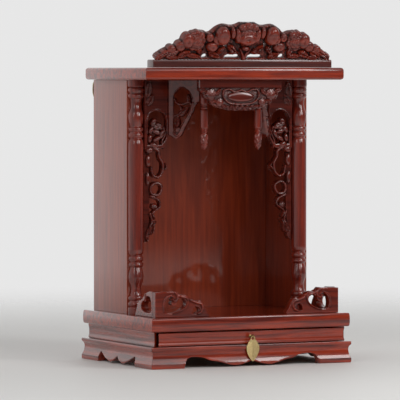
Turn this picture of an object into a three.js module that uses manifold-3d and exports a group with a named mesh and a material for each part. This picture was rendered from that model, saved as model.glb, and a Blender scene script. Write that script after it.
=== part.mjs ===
// A household altar cabinet in lacquered hardwood: a moulded plinth with a shallow drawer, an open
// niche between turned columns, pierced hanging brackets and a leaning peony crest.
// Millimetres. X runs along the front, the front faces -Y, and Z is up. The origin is on the floor,
// in the middle of everything the cabinet reaches, its drawer pull included.
import * as THREE from "three";
import { mergeVertices } from "three/addons/utils/BufferGeometryUtils.js";
import Module from "manifold-3d";

const wasm = await Module();
wasm.setup();

// ---- Driving dimensions ----
const WIDTH = 410; // deck and top board
const DEPTH = 310; // deck
const PLINTH_OUT = 1.8; // the plinth stands this far outside the deck on every side
const PULL_PROUD = 6.8; // how far the pull's eye stands in front of the deck
const GAP = 0.3; // clearance between pieces that touch

const PLINTH_TOP = 39.6;
const DECK_BOTTOM = 67.4;
const DECK_TOP = 93;
const TOP_BOTTOM = 529.6;
const TOP_TOP = 552.3;
const STRIP_TOP = 566; // the strip that carries the crest
const CREST_TOP = 637.5;

const HALF = WIDTH / 2;
const FRONT = -(DEPTH + PLINTH_OUT - PULL_PROUD) / 2; // plane of the deck's front edge
const BACK = FRONT + DEPTH;
const MIDDLE = (FRONT + BACK) / 2;

const APRON_THICK = 16;
const WAIST_INSET = 8; // the drawer level stands back from the deck's edge
const WAIST_THICK = 14;
const DRAWER_GAP_LEFT = 8.4; // the drawer front stops short of the corner on the left
const DRAWER_GAP_RIGHT = 1;

const TOP_FRONT = FRONT + 25.6;
const TOP_BACK = FRONT + 297;
const PANEL_OUT = HALF - 16.5;
const PANEL_IN = PANEL_OUT - 16;
const FACE_Y = FRONT + 146; // front edges of the side panels, and the column centres
const BODY_BACK = FRONT + 296;
const BACK_THICK = 10;

const COLUMN_X = HALF - 34;
const SHAFT_R = 15.3;
const BRACKET_OUT = HALF - 50; // brackets start where the columns bulge to
const BRACKET_IN = HALF - 98.4;
const BRACKET_THICK = 12;
const PENDANT_X = 56;
const PENDANT_Y = FRONT + 90;
const PENDANT_R = 7.5;
const HEADER_Y = FRONT + 48;
const HEADER_THICK = 12;

const RAIL_X = HALF - 15; // outer corner of the rails
const RAIL_Y = FRONT + 18;
const RAIL_THICK = 14;

const CREST_Y = FRONT + 37;
const STRIP_DEPTH = 27;
const STRIP_HALF = 185;
const CREST_LEAN = 21; // degrees forward
const CREST_THICK = 14;

const BODY_LOW = DECK_TOP + GAP;
const BODY_HIGH = TOP_BOTTOM - GAP;

// ---- Materials ----
const wood = (color, roughness) => new THREE.MeshStandardMaterial({ color, roughness, metalness: 0 });
const lacquer = wood(0x6e2a1c, 0.3);
const panelWood = wood(0x7a3a2a, 0.35);
const carvedWood = wood(0x5a2018, 0.25);
const rawWood = wood(0x8a5a3c, 0.7);
const brass = new THREE.MeshStandardMaterial({ color: 0xc9b26a, roughness: 0.35, metalness: 1 });

const cabinet = new THREE.Group();

// ---- Solids ----
// A closed three.js geometry as a manifold solid.
function solid(geometry) {
  const bare = geometry.clone();
  bare.deleteAttribute("normal");
  bare.deleteAttribute("uv");
  const merged = mergeVertices(bare, 1e-3);
  const mesh = new wasm.Mesh({
    numProp: 3,
    vertProperties: merged.attributes.position.array,
    triVerts: new Uint32Array(merged.index.array),
  });
  return new wasm.Manifold(mesh);
}

// A manifold solid as a three.js geometry with flat faces.
function faceted(made) {
  const mesh = made.getMesh();
  const geometry = new THREE.BufferGeometry();
  geometry.setAttribute("position", new THREE.BufferAttribute(mesh.vertProperties, 3));
  geometry.setIndex(new THREE.BufferAttribute(mesh.triVerts, 1));
  const flat = geometry.toNonIndexed();
  flat.computeVertexNormals();
  return flat;
}

function piece(name, made, material) {
  const mesh = new THREE.Mesh(faceted(made), material.clone());
  mesh.name = name;
  cabinet.add(mesh);
}

const join = (parts) => parts.reduce((sum, part) => sum.add(part));
const mirrored = (made) => made.mirror([1, 0, 0]);

function pair(name, left, material) {
  piece(`${name}_left`, left, material);
  piece(`${name}_right`, mirrored(left), material);
}

function box(x0, x1, y0, y1, z0, z1) {
  const shape = new THREE.BoxGeometry(x1 - x0, y1 - y0, z1 - z0);
  return solid(shape.translate((x0 + x1) / 2, (y0 + y1) / 2, (z0 + z1) / 2));
}

const extruded = (points, depth) =>
  new THREE.ExtrudeGeometry(new THREE.Shape(points.map(([u, v]) => new THREE.Vector2(u, v))), {
    depth,
    bevelEnabled: false,
  });

// Outlines in (x, z), (y, z) and (x, y), extruded along the third axis.
const plateXZ = (points, y0, y1) =>
  solid(extruded(points, y1 - y0).rotateX(Math.PI / 2).translate(0, y1, 0));
const plateYZ = (points, x0, x1) =>
  solid(extruded(points, x1 - x0).rotateX(Math.PI / 2).rotateZ(Math.PI / 2).translate(x0, 0, 0));
const plateXY = (points, z0, z1) => solid(extruded(points, z1 - z0).translate(0, 0, z0));

// A smooth run of points through the given ones.
const run = (points, per = 2) =>
  new THREE.SplineCurve(points.map(([u, v]) => new THREE.Vector2(u, v)))
    .getPoints((points.length - 1) * per)
    .map((p) => [p.x, p.y]);

// An oval in the plane of a board, its long axis turned by tilt degrees.
const oval = (x, z, rx, rz, tilt = 0, sides = 12) =>
  Array.from({ length: sides }, (_, i) => {
    const a = (i / sides) * 2 * Math.PI;
    const t = (tilt * Math.PI) / 180;
    const u = rx * Math.cos(a);
    const v = rz * Math.sin(a);
    return [x + u * Math.cos(t) - v * Math.sin(t), z + u * Math.sin(t) + v * Math.cos(t)];
  });

// An opening from x0 to x1 with a round head.
function archSlot(x0, x1, low, top) {
  const r = (x1 - x0) / 2;
  const head = Array.from({ length: 9 }, (_, i) => {
    const a = Math.PI - (i / 8) * Math.PI;
    return [x0 + r + r * Math.cos(a), top - r + r * Math.sin(a)];
  });
  return [[x0, low], ...head, [x1, low]];
}

const pierced = (board, holes, y0, y1) =>
  holes.reduce((left, hole) => left.subtract(plateXZ(hole, y0 - 20, y1 + 20)), board);

// A rounded boss of carving, its long axis turned by tilt degrees in the plane of the board. It has three
// bands from front to back, so its widest rings stand at half its depth and are drawn out to its full size.
const RING = Math.sin(Math.PI / 3);
function boss(x, y, z, rx, ry, rz, tilt = 0, sides = 5) {
  const ball = new THREE.SphereGeometry(1, sides, 3).scale(rx / RING, ry, rz / RING);
  return solid(ball.rotateY((-tilt * Math.PI) / 180).translate(x, y, z));
}

// A turned solid about a vertical axis, from (radius, z) pairs that run downwards.
function turned(profile, x, y, sides) {
  const rising = [...profile].reverse();
  const closed = [[0, rising[0][1]], ...rising, [0, rising.at(-1)[1]]];
  const made = new THREE.LatheGeometry(closed.map(([r, z]) => new THREE.Vector2(r, z)), sides);
  return solid(made.rotateX(Math.PI / 2).translate(x, y, 0));
}

// ---- Mouldings: (inset, z) pairs down an outer face ----
// The plinth has a rounded lip, a cove, and a flat band along the foot.
const PLINTH_FACE = [
  [1.2, PLINTH_TOP], [0, 38], [0, 34.6], [1.4, 33], [3.5, 29.4],
  [4.2, 25], [3.4, 18], [1.6, 12], [0, 8.2], [0, 0],
];
const WAIST_LIP = 2.6; // flat lip along both edges of the drawer level, and the hollow between them
const WAIST_HOLLOW = 1.5;
const waistFace = (top, low) => [
  [0, top], [0, top - WAIST_LIP], [WAIST_HOLLOW, top - 8],
  [WAIST_HOLLOW, low + 8], [0, low + WAIST_LIP], [0, low],
];
// Depths below the deck's top: one full, slightly swelling nose.
const DECK_FACE = [
  [4, 0], [1.7, 0.9], [0.7, 3.4], [0, 9], [0, 16.6], [0.7, 22.2], [1.7, 24.7], [4, 25.6],
].map(([inset, below]) => [inset, DECK_TOP - below]);
const TOP_FACE = [
  [4, TOP_TOP], [1.4, TOP_TOP - 1.6], [0, TOP_TOP - 5],
  [0, TOP_BOTTOM + 5], [1.4, TOP_BOTTOM + 1.6], [4, TOP_BOTTOM],
];

// A moulded board along X, its outer face at y = 0, cut to a plan with mitred ends.
function mouldedBoard(x0, x1, thick, face) {
  const low = face.at(-1)[1];
  const high = face[0][1];
  const stock = plateYZ([...face, [thick, low], [thick, high]], x0, x1);
  const plan = [[x0 + GAP, 0], [x1 - GAP, 0], [x1 - thick - GAP, thick], [x0 + thick + GAP, thick]];
  return stock.intersect(plateXY(plan, low - 1, high + 1));
}

// A slab moulded on all four edges: two extrusions that cross.
function mouldedSlab(y0, y1, face) {
  const back = [...face].reverse();
  const across = [...face.map(([i, z]) => [HALF - i, z]), ...back.map(([i, z]) => [-HALF + i, z])];
  const along = [...face.map(([i, z]) => [y1 - i, z]), ...back.map(([i, z]) => [y0 + i, z])];
  return plateXZ(across, y0, y1).intersect(plateYZ(along, -HALF, HALF));
}

const toFront = (made, inset) => made.translate([0, FRONT + inset, 0]);
const toBack = (made, inset) => made.rotate([0, 0, 180]).translate([0, BACK - inset, 0]);
const toLeft = (made, inset) => made.rotate([0, 0, -90]).translate([-HALF + inset, MIDDLE, 0]);

// ---- Plinth: four mitred aprons on bracket feet ----
// Half of each apron's lower edge, from the foot to the middle.
const FRONT_ARCH = [
  [140, 0], [135, 14], [128, 19], [118, 20.5], [99, 18.5], [87, 13.5],
  [68, 10], [45, 4], [34, 3], [22, 4.5], [8, 8.5], [0, 10],
];
const SIDE_ARCH = [[82, 0], [80.5, 12], [75, 18], [68, 15], [50, 8.5], [30, 3], [14, 6.5], [0, 14]];

function apron(half, arch, per = 2) {
  const curve = run(arch, per);
  const other = [...curve].reverse().slice(1).map(([x, z]) => [-x, z]);
  const opening = [[arch[0][0], -1], ...curve, ...other, [-arch[0][0], -1]];
  const board = mouldedBoard(-half, half, APRON_THICK, PLINTH_FACE);
  return board.subtract(plateXZ(opening, -1, APRON_THICK + 1));
}
const plinthHalf = HALF + PLINTH_OUT;
piece("plinth_front", toFront(apron(plinthHalf, FRONT_ARCH), -PLINTH_OUT), lacquer);
piece("plinth_back", toBack(apron(plinthHalf, FRONT_ARCH, 1), -PLINTH_OUT), lacquer); // sawn more plainly
pair("plinth", toLeft(apron(DEPTH / 2 + PLINTH_OUT, SIDE_ARCH), -PLINTH_OUT), lacquer);

// ---- Drawer level ----
const waistHigh = DECK_BOTTOM - GAP;
const waistLow = PLINTH_TOP + GAP;
const waistHalf = DEPTH / 2 - WAIST_INSET;
const frontHalf = HALF - WAIST_INSET;
const WAIST = waistFace(waistHigh, waistLow);
pair("waist", toLeft(mouldedBoard(-waistHalf, waistHalf, WAIST_THICK, WAIST), WAIST_INSET), lacquer);
piece("waist_back", toBack(mouldedBoard(-frontHalf, frontHalf, WAIST_THICK, WAIST), WAIST_INSET), lacquer);

const inPlinth = APRON_THICK - PLINTH_OUT + GAP;
piece(
  "drawer_runner",
  box(-HALF + inPlinth, HALF - inPlinth, FRONT + inPlinth, BACK - inPlinth, PLINTH_TOP - 6, PLINTH_TOP),
  rawWood,
);

const drawerLow = PLINTH_TOP + 1.2;
const drawerHigh = DECK_BOTTOM - 2.4;
const drawerBoard = mouldedBoard(
  -frontHalf + DRAWER_GAP_LEFT, frontHalf - DRAWER_GAP_RIGHT, WAIST_THICK, waistFace(drawerHigh, drawerLow),
);
piece("drawer_front", toFront(drawerBoard, WAIST_INSET), lacquer);

const DRAWER_HALF = 168;
const DRAWER_DEPTH = 240;
const DRAWER_WALL = 9;
const DRAWER_FLOOR = 4;
const wallHigh = drawerHigh - 3;
const drawerY0 = FRONT + WAIST_INSET + WAIST_THICK + GAP;
const drawerY1 = drawerY0 + DRAWER_DEPTH;
const drawerIn = DRAWER_HALF - DRAWER_WALL - GAP;
const boxLow = PLINTH_TOP + GAP;
const drawerSide = box(-DRAWER_HALF, -DRAWER_HALF + DRAWER_WALL, drawerY0, drawerY1, boxLow, wallHigh);
pair("drawer_side", drawerSide, rawWood);
piece("drawer_back", box(-drawerIn, drawerIn, drawerY1 - DRAWER_WALL, drawerY1, boxLow, wallHigh), rawWood);
piece(
  "drawer_bottom",
  box(-drawerIn, drawerIn, drawerY0, drawerY1 - DRAWER_WALL - GAP, boxLow, boxLow + DRAWER_FLOOR),
  rawWood,
);

// ---- Deck, niche and top ----
piece("deck_board", mouldedSlab(FRONT, BACK, DECK_FACE), lacquer);
piece("top_board", mouldedSlab(TOP_FRONT, TOP_BACK, TOP_FACE), lacquer);
pair("side_panel", box(-PANEL_OUT, -PANEL_IN, FACE_Y, BODY_BACK, BODY_LOW, BODY_HIGH), panelWood);
const backHalf = PANEL_IN - GAP;
const backPanel = box(-backHalf, backHalf, BODY_BACK - BACK_THICK, BODY_BACK, BODY_LOW, BODY_HIGH);
piece("back_panel", backPanel, panelWood);

// ---- Turned columns, rebated over the front edges of the side panels ----
// (distance from the end of the column, radius); both ends are turned alike.
const COLUMN_END = [
  [0, 16], [11.6, 16], [13.3, 13.5], [16, 15.4], [21, 15.4], [24.6, 13.5], [27, 15.4], [32, 15.4],
  [35, 12.6], [46, 10.6], [59, 13.6], [69, 15], [79, 14.2], [87, 12], [90, 14.8], [94, 14.8],
  [96.6, 12.5], [100.5, 14.8], [106, 14.8], [108.6, 12], [117, SHAFT_R],
];
const COLUMN_SIDES = 10;
const columnDown = COLUMN_END.map(([d, r]) => [r, BODY_HIGH - d]);
const columnUp = [...COLUMN_END].reverse().map(([d, r]) => [r, BODY_LOW + d]);
const post = turned([...columnDown, ...columnUp], -COLUMN_X, FACE_Y, COLUMN_SIDES);
const panelRoom = box(-PANEL_OUT - 20, -PANEL_IN + GAP, FACE_Y - GAP, FACE_Y + 40, 0, TOP_TOP);
pair("column", post.subtract(panelRoom), lacquer);

// ---- Hanging brackets: bean vines beside the columns ----
// (inboard of the column, z) down the free edge, then the open loops of the vine.
const BRACKET_EDGE = [
  [47, 421], [37, 398], [35, 380], [45, 360], [33, 344], [26, 341], [37, 325], [27, 312],
  [18, 305], [33, 295], [21, 268], [17, 263], [25, 252], [16, 240], [6, 228],
];
const BRACKET_LOOPS = [
  oval(25, 371, 7.5, 20, -6), oval(24, 325, 7, 7.5), oval(20.5, 290, 5.5, 9, -12), oval(15, 251, 3, 6, 10, 8),
];
// The bunch of beans that fills the slot, then the leaves on the solid head and down the vine:
// (inboard of the column, z, tilt).
const BEANS = [
  [12, 420, 70], [20, 434, 40], [31, 440, -35], [39, 425, -70], [26, 418, 10], [27, 452, 80], [9, 441, 80],
];
const BRACKET_LEAVES = [
  [12, 512, 60], [14, 492, 30], [32, 509, -30], [10, 395, 70], [35, 362, 80], [14, 305, 60], [10, 268, 80],
];
function bracket() {
  const inward = ([u, z]) => [-BRACKET_OUT + u, z];
  const wide = BRACKET_OUT - BRACKET_IN;
  const y0 = FACE_Y - BRACKET_THICK / 2;
  const y1 = y0 + BRACKET_THICK;
  const outline = [[GAP, BODY_HIGH], [wide, BODY_HIGH], [wide, 421], ...run(BRACKET_EDGE), [GAP, 226]];
  const slot = archSlot(6.3, 45.3, 410, 472);
  const holes = [slot, ...BRACKET_LOOPS].map((hole) => hole.map(inward));
  const board = pierced(plateXZ(outline.map(inward), y0, y1), holes, y0, y1);
  const lumps = [
    ...BEANS.map(([u, z, tilt]) => boss(-BRACKET_OUT + u, FACE_Y, z, 11, 6.5, 6, tilt)),
    ...BRACKET_LEAVES.map(([u, z, tilt]) => boss(-BRACKET_OUT + u, y0 + 2, z, 10, 4.5, 5.5, tilt)),
  ];
  const room = box(-BRACKET_OUT + GAP, -BRACKET_IN, y0 - 4, y1, 220, BODY_HIGH);
  return join([board, ...lumps]).intersect(room);
}
pair("bracket", bracket(), carvedWood);

// ---- Wings: pierced boards that splay from the brackets to the pendants ----
const wingFrom = new THREE.Vector2(-BRACKET_IN, FACE_Y);
const wingTo = new THREE.Vector2(-PENDANT_X, PENDANT_Y);
const wingLength = wingFrom.distanceTo(wingTo);
const wingAngle = (Math.atan2(wingTo.y - wingFrom.y, wingTo.x - wingFrom.x) * 180) / Math.PI;
const WING_THICK = 10;
// (distance from the bracket, z) along the lower edge.
const WING_EDGE = [
  [0, 427], [12, 423], [21, 420], [30, 426], [35, 436], [49, 462], [53, 472], [62, 487], [wingLength, 490],
];
// The slot's slanting foot; its head is an arch. Then the tendrils: (distance from the bracket, z, tilt).
const WING_SLOT_FOOT = [[14, 434], [24, 433], [33, 446], [46, 466], [53, 478]];
const TENDRILS = [
  [17, 441, 70], [24, 455, 50], [31, 468, 50], [21, 478, -50], [49, 487, 75], [38, 490, -15], [24, 492, 20],
];
function wing() {
  const t = WING_THICK / 2;
  const lower = run(WING_EDGE);
  const outline = [[-12, BODY_HIGH], [-12, 427], ...lower, [wingLength, BODY_HIGH]];
  const slot = [...WING_SLOT_FOOT, ...archSlot(14, 53, 478, 515).slice(1, -1).reverse()];
  const board = pierced(plateXZ(outline, -t, t), [slot], -t, t);
  const lumps = TENDRILS.map(([s, z, tilt]) => boss(s, 0, z, 13, 5, 4, tilt));
  const made = join([board, ...lumps]).rotate([0, 0, wingAngle]).translate([wingFrom.x, wingFrom.y, 0]);
  const room = box(-BRACKET_IN + GAP, 0, FRONT, FACE_Y + 4, 300, BODY_HIGH);
  const clear = PENDANT_R + GAP;
  const aroundPendant = turned([[clear, TOP_TOP], [clear, 380]], -PENDANT_X, PENDANT_Y, 16);
  const behind = box(-PENDANT_X, 0, FRONT, BACK, 300, TOP_TOP);
  return made.intersect(room).subtract(aroundPendant).subtract(behind);
}
pair("wing", wing(), carvedWood);

// ---- Pendants ----
const PENDANT_PROFILE = [
  [7, BODY_HIGH], [7, 486], [5.4, 484.5], [7.4, 482], [5.6, 480], [7.4, 478],
  [5.6, 476], [7.3, 473], [7.3, 441], [5.6, 439.5], [7.4, 437.5], [5.6, 435.5],
  [7.4, 433.5], [5.4, 431], [7.3, 424], [7.3, 414], [5.6, 405], [2.4, 399],
];
pair("pendant", turned(PENDANT_PROFILE, -PENDANT_X, PENDANT_Y, 7), lacquer);

// ---- Header: a carved valance under the top board's front ----
const HEADER_HALF = 85;
const HEADER_EDGE = [[HEADER_HALF, 515], [79, 505], [70, 497], [59, 485], [46, 478.5], [34, 474.5]];
const HEADER_FLOWERS = [
  [76, 509, 20], [63, 506, -30], [52, 500, 40], [62, 494, -10], [46, 487, 30], [42, 507, -50], [33, 481, 10],
]; // (half width, z, tilt)
function header() {
  const fringe = Array.from({ length: 17 }, (_, i) => [26 - i * 3.25, 472.6 + 1.6 * Math.cos(i * Math.PI)]);
  const left = [...HEADER_EDGE].reverse().map(([x, z]) => [-x, z]);
  const outline = [[-HEADER_HALF, BODY_HIGH], [HEADER_HALF, BODY_HIGH], ...HEADER_EDGE, ...fringe, ...left];
  const y0 = HEADER_Y;
  const y1 = HEADER_Y + HEADER_THICK;
  const lumps = [-1, 1].flatMap((s) =>
    HEADER_FLOWERS.map(([x, z, tilt]) => boss(s * x, y0, z, 9, 3.6, 5.5, s * tilt)),
  );
  const cartouche = [boss(0, y0, 498, 31, 3.6, 10, 0, 12)];
  const curls = [-1, 1].map((s) => boss(s * 30, y0, 496, 6, 4, 6));
  const room = box(-HEADER_HALF, HEADER_HALF, y0 - 6, y1, 460, BODY_HIGH);
  return join([plateXZ(outline, y0, y1), ...lumps, ...cartouche, ...curls]).intersect(room);
}
piece("header", header(), carvedWood);

// ---- Corner rails on the deck ----
// (distance from the corner, z) along the top edge, and the scrolled openings.
const FRONT_RAIL = [
  [37, 140.5], [42, 137.5], [45, 133.5], [50, 133.5], [57, 134.5], [65, 131.5], [71, 128],
  [78, 122.5], [84, 121.5], [90, 123], [95, 120], [99, 114], [104, 104], [111, BODY_LOW],
];
const SIDE_RAIL = [
  [27, 141], [38, 138], [46, 134], [56, 127], [63, 122.5], [71, 122], [78, 115], [84, 104], [90, BODY_LOW],
];
const FRONT_CURL = [
  [22, 102], [20, 113], [23, 125], [30, 130.5], [36, 129], [38, 124], [34, 119], [37, 114.5],
  [42, 117], [45, 123], [51, 127], [59, 125.5], [63, 118], [60, 109], [50, 103.5], [36, 101],
];
const SIDE_CURL = [
  [20, 103], [19, 116], [24, 128], [33, 131.5], [42, 129], [41, 123],
  [47, 121], [55, 121], [62, 115], [61, 107], [50, 102], [34, 101],
];
function rail(edge, corner, curls) {
  const outline = [[0, BODY_LOW], [0, corner], ...run(edge)];
  return pierced(plateXZ(outline, 0, RAIL_THICK), curls, 0, RAIL_THICK);
}
const railMitre = (length) =>
  plateXY([[0, 0], [length, 0], [length, RAIL_THICK], [RAIL_THICK, RAIL_THICK]], DECK_BOTTOM, TOP_BOTTOM);
const frontRail = rail(FRONT_RAIL, 140, [FRONT_CURL, oval(84, 105, 6.5, 6, 20)])
  .add(boss(42, 2, 128, 8, 4, 4, -30).intersect(box(30, 55, -2, 12, 116, 134)))
  .intersect(railMitre(120));
const sideRail = rail(SIDE_RAIL, 141, [SIDE_CURL]).intersect(railMitre(100));
pair("rail_front", frontRail.translate([-RAIL_X + GAP, RAIL_Y, 0]), carvedWood);
// Turned so that it runs back from the corner with its outer face to the left.
const sideRun = mirrored(sideRail).rotate([0, 0, -90]).translate([-RAIL_X, RAIL_Y + GAP, 0]);
pair("rail_side", sideRun, carvedWood);

// ---- Crest ----
const STRIP_END = [[182, TOP_TOP + GAP], [STRIP_HALF, 557], [STRIP_HALF, 561], [181, STRIP_TOP]];
const stripLeft = [...STRIP_END].reverse().map(([x, z]) => [-x, z]);
piece("crest_strip", plateXZ([...STRIP_END, ...stripLeft], CREST_Y, CREST_Y + STRIP_DEPTH), lacquer);

// (half width, z) of the carved board, from the end to the middle.
const CREST_EDGE = [
  [180, STRIP_TOP], [180, 573], [173, 579], [158, 587.5], [144, 592], [131, 604], [118, 614], [108, 619],
  [88, 618.5], [77, 615.5], [64, 625.5], [50, 630.5], [30, 628.5], [12, 635.5], [0, 637],
];
const leanRatio = Math.cos((CREST_LEAN * Math.PI) / 180);
const along = (z) => (z - STRIP_TOP) / leanRatio; // height on the board, before it leans
const CREST_HOLES = [[23.4, 573, 15, 4], [79.5, 573, 6, 3.6], [40, 593, 4.5, 5], [86, 587, 2.6, 4]];
// Smooth petals beside the middle bloom, buds, and leaves that run down to the ends:
// (half width, z, radii along, out of and across the board, tilt).
const PETALS = [
  [51, 611, 15, 11, 18, -8], [69.5, 591, 11, 8, 11, 10], [133, 592, 10, 7, 10, 0],
  [150, 585, 11, 6, 7, -30], [163, 578, 10, 5, 6, -35], [175, 572, 7, 5, 7, 0],
  [120, 578, 11, 5, 6, -20], [60, 576, 12, 5, 6, 20], [27, 587, 11, 5, 6, 40], [31, 616, 6, 7, 11, 0],
];

// A peony: a core, a ring of cupped petals and a ring of ruffled ones behind. `core` is the depth of its middle.
function peony(x, z, r, core) {
  const petals = [boss(x, 0, along(z), r * 0.45, core, r * 0.42)];
  for (const [count, out, size, deep, y] of [[5, 0.45, 0.34, core * 0.8, 0], [6, 0.74, 0.36, core * 0.6, 2]])
    for (let i = 0; i < count; i++) {
      const a = ((i + 0.5) / count) * 2 * Math.PI;
      const tilt = (a * 180) / Math.PI + 90;
      const u = x + r * out * Math.cos(a);
      const v = along(z) + r * out * Math.sin(a);
      petals.push(boss(u, y, v, r * size, deep, r * size * 0.7, tilt));
    }
  return petals;
}

function crest() {
  const t = CREST_THICK;
  const edge = CREST_EDGE.map(([x, z]) => [x, along(z)]);
  const other = [...edge].reverse().slice(1).map(([x, v]) => [-x, v]);
  const holes = [-1, 1].flatMap((s) =>
    CREST_HOLES.map(([x, z, rx, rz]) => oval(s * x, along(z), rx, rz, 0, 8)),
  );
  const board = pierced(plateXZ([...edge, ...other], 2, t), holes, 0, t);
  const lumps = [-1, 1].flatMap((s) =>
    PETALS.map(([x, z, rx, ry, rz, tilt]) => boss(s * x, 1, along(z), rx, ry, rz, s * tilt)),
  );
  const blooms = [...peony(0, 612, 24, 13), ...peony(-106, 599, 22, 7), ...peony(106, 599, 22, 7)];
  const leaning = join([board, ...lumps, ...blooms]).rotate([CREST_LEAN, 0, 0]);
  const placed = leaning.translate([0, CREST_Y, STRIP_TOP]);
  const room = box(-STRIP_HALF, STRIP_HALF, FRONT, CREST_Y + STRIP_DEPTH, STRIP_TOP + GAP, CREST_TOP);
  return placed.intersect(room);
}
piece("crest", crest(), carvedWood);

// ---- Brass: a leaf on a wire eye, and two hangers on the back ----
const EYE_R = 3.3; // centre line of the wire
const WIRE_R = 0.8;
const EYE_Z = 54.8; // the leaf swings about the middle of the eye
const EYE_Y = FRONT - PULL_PROUD + EYE_R + WIRE_R;
const LEAF_THICK = 1.2;
const LEAF_EDGE = [
  [2.4, 55.8], [4, 53], [4.4, 50], [7.2, 47], [7, 45.4], [10.4, 43.4],
  [10, 41.6], [13, 37.5], [13.5, 30], [11.4, 23], [5.6, 13.5], [1.6, 9.2],
];
function leafPull() {
  const left = [...LEAF_EDGE].reverse().map(([x, z]) => [-x, z]);
  const leaf = plateXZ([[0, 56], ...LEAF_EDGE, [0, 8.3], ...left], -LEAF_THICK / 2, LEAF_THICK / 2);
  return pierced(leaf, [oval(0, EYE_Z - 3.7, 2.5, 2.5)], -1, 1).translate([0, EYE_Y, 0]);
}
piece("leaf_pull", leafPull(), brass);

function pullEye() {
  const wire = new THREE.TorusGeometry(EYE_R, WIRE_R, 5, 10).rotateY(Math.PI / 2);
  const ring = solid(wire).translate([0, EYE_Y, EYE_Z]);
  const y0 = EYE_Y + EYE_R;
  const y1 = FRONT + WAIST_INSET + WAIST_HOLLOW - GAP;
  const shank = solid(new THREE.CylinderGeometry(WIRE_R, WIRE_R, y1 - y0, 8));
  const plate = solid(new THREE.CylinderGeometry(3, 3, 1, 12));
  return join([ring, shank.translate([0, (y0 + y1) / 2, EYE_Z]), plate.translate([0, y1 - 0.5, EYE_Z])]);
}
piece("pull_eye", pullEye(), brass);

function hanger() {
  const outer = run([[0, 526], [9, 524], [11.4, 514], [11, 504], [5, 495], [2.4, 481]]);
  const inner = run([[0, 481], [2.2, 494], [8.4, 504.5], [9, 513], [7, 521], [0, 523]]);
  const strip = [...outer, ...inner].map(([d, z]) => [BODY_BACK + GAP + d, z]);
  return plateYZ(strip, -PANEL_OUT + 3, -PANEL_OUT + 15);
}
pair("hanger", hanger(), brass);

export default cabinet;
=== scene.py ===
"""A household altar cabinet: lacquered boards, turned posts, pierced carving and brass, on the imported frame."""

import logging
import math
from dataclasses import dataclass, field
from enum import Enum
from typing import Callable, Sequence

import bpy
import numpy as np
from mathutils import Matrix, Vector


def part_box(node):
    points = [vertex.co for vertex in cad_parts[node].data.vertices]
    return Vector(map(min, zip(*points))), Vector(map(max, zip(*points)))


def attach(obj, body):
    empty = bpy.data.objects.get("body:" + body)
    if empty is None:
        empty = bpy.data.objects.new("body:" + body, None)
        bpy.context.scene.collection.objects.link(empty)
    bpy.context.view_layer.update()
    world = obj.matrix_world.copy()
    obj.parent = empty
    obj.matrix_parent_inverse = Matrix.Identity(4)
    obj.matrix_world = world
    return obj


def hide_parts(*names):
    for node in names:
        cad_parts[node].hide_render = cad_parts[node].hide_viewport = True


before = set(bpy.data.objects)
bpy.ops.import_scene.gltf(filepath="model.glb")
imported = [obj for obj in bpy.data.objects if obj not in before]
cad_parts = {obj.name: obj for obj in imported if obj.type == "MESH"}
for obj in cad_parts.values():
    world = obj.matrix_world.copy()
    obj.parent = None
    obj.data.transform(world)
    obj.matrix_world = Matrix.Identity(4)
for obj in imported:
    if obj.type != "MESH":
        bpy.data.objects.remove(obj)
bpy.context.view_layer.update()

LOG = logging.getLogger("altar_cabinet")
MM = 0.001
Array = np.ndarray
Points = Sequence[tuple[float, float]]


class Body(Enum):
    """The three rigid bodies of the cabinet."""

    CABINET = "cabinet"
    DRAWER = "drawer"
    PULL = "pull"


class Slot(Enum):
    """The record's material slots."""

    LACQUER = "lacquer"
    PANEL = "panel"
    CARVING = "carving"
    DRAWER_WOOD = "drawer_wood"
    BRASS = "brass"


class Grain(Enum):
    """The way the grain runs, as the stretch of the pattern along X, Y and Z."""

    ALONG_X = (1.0, 17.0, 17.0)
    ALONG_Y = (17.0, 1.0, 17.0)
    UPRIGHT = (17.0, 17.0, 1.0)


# ---- Curves ----
def smooth_run(points: Points, per: int = 6, closed: bool = False) -> Array:
    """Carries a Catmull-Rom curve through points: each stretch is a cubic whose slope at a point is half the
    step between that point's neighbours.

    Args:
        points: the points to pass through.
        per: samples on each stretch.
        closed: whether the last point joins the first.

    Returns:
        The samples, one row each.
    """
    p = np.asarray(points, float)
    ends = (p[-1:], p[:2]) if closed else (2 * p[:1] - p[1:2], 2 * p[-1:] - p[-2:-1])
    q = np.vstack([ends[0], p, ends[1]])
    count = len(q) - 3
    t = (np.arange(per) / per)[None, :, None]
    a, b, c, d = (q[i : i + count][:, None, :] for i in range(4))
    curve = 0.5 * (2 * b + (c - a) * t + (2 * a - 5 * b + 4 * c - d) * t**2 + (3 * b - a - 3 * c + d) * t**3)
    flat = curve.reshape(-1, p.shape[1])
    return flat if closed else np.vstack([flat, p[-1:]])


def segment_distance(u: Array, v: Array, line: Array) -> tuple[Array, Array]:
    """Distance from each point to a polyline: the shortest drop onto any of its segments.

    Args:
        u: first coordinate of the points.
        v: second coordinate of the points.
        line: the polyline, one vertex a row.

    Returns:
        The distance, and how far along the line the nearest place is, from 0 to 1.
    """
    a, d = line[:-1], np.diff(line, axis=0)
    pu, pv = u[:, None] - a[:, 0], v[:, None] - a[:, 1]
    size = np.maximum((d**2).sum(1), 1e-9)
    t = np.clip((pu * d[:, 0] + pv * d[:, 1]) / size, 0, 1)
    far = np.hypot(pu - t * d[:, 0], pv - t * d[:, 1])
    best = far.argmin(1)
    row = np.arange(len(u))
    return far[row, best], (best + t[row, best]) / len(a)


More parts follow.
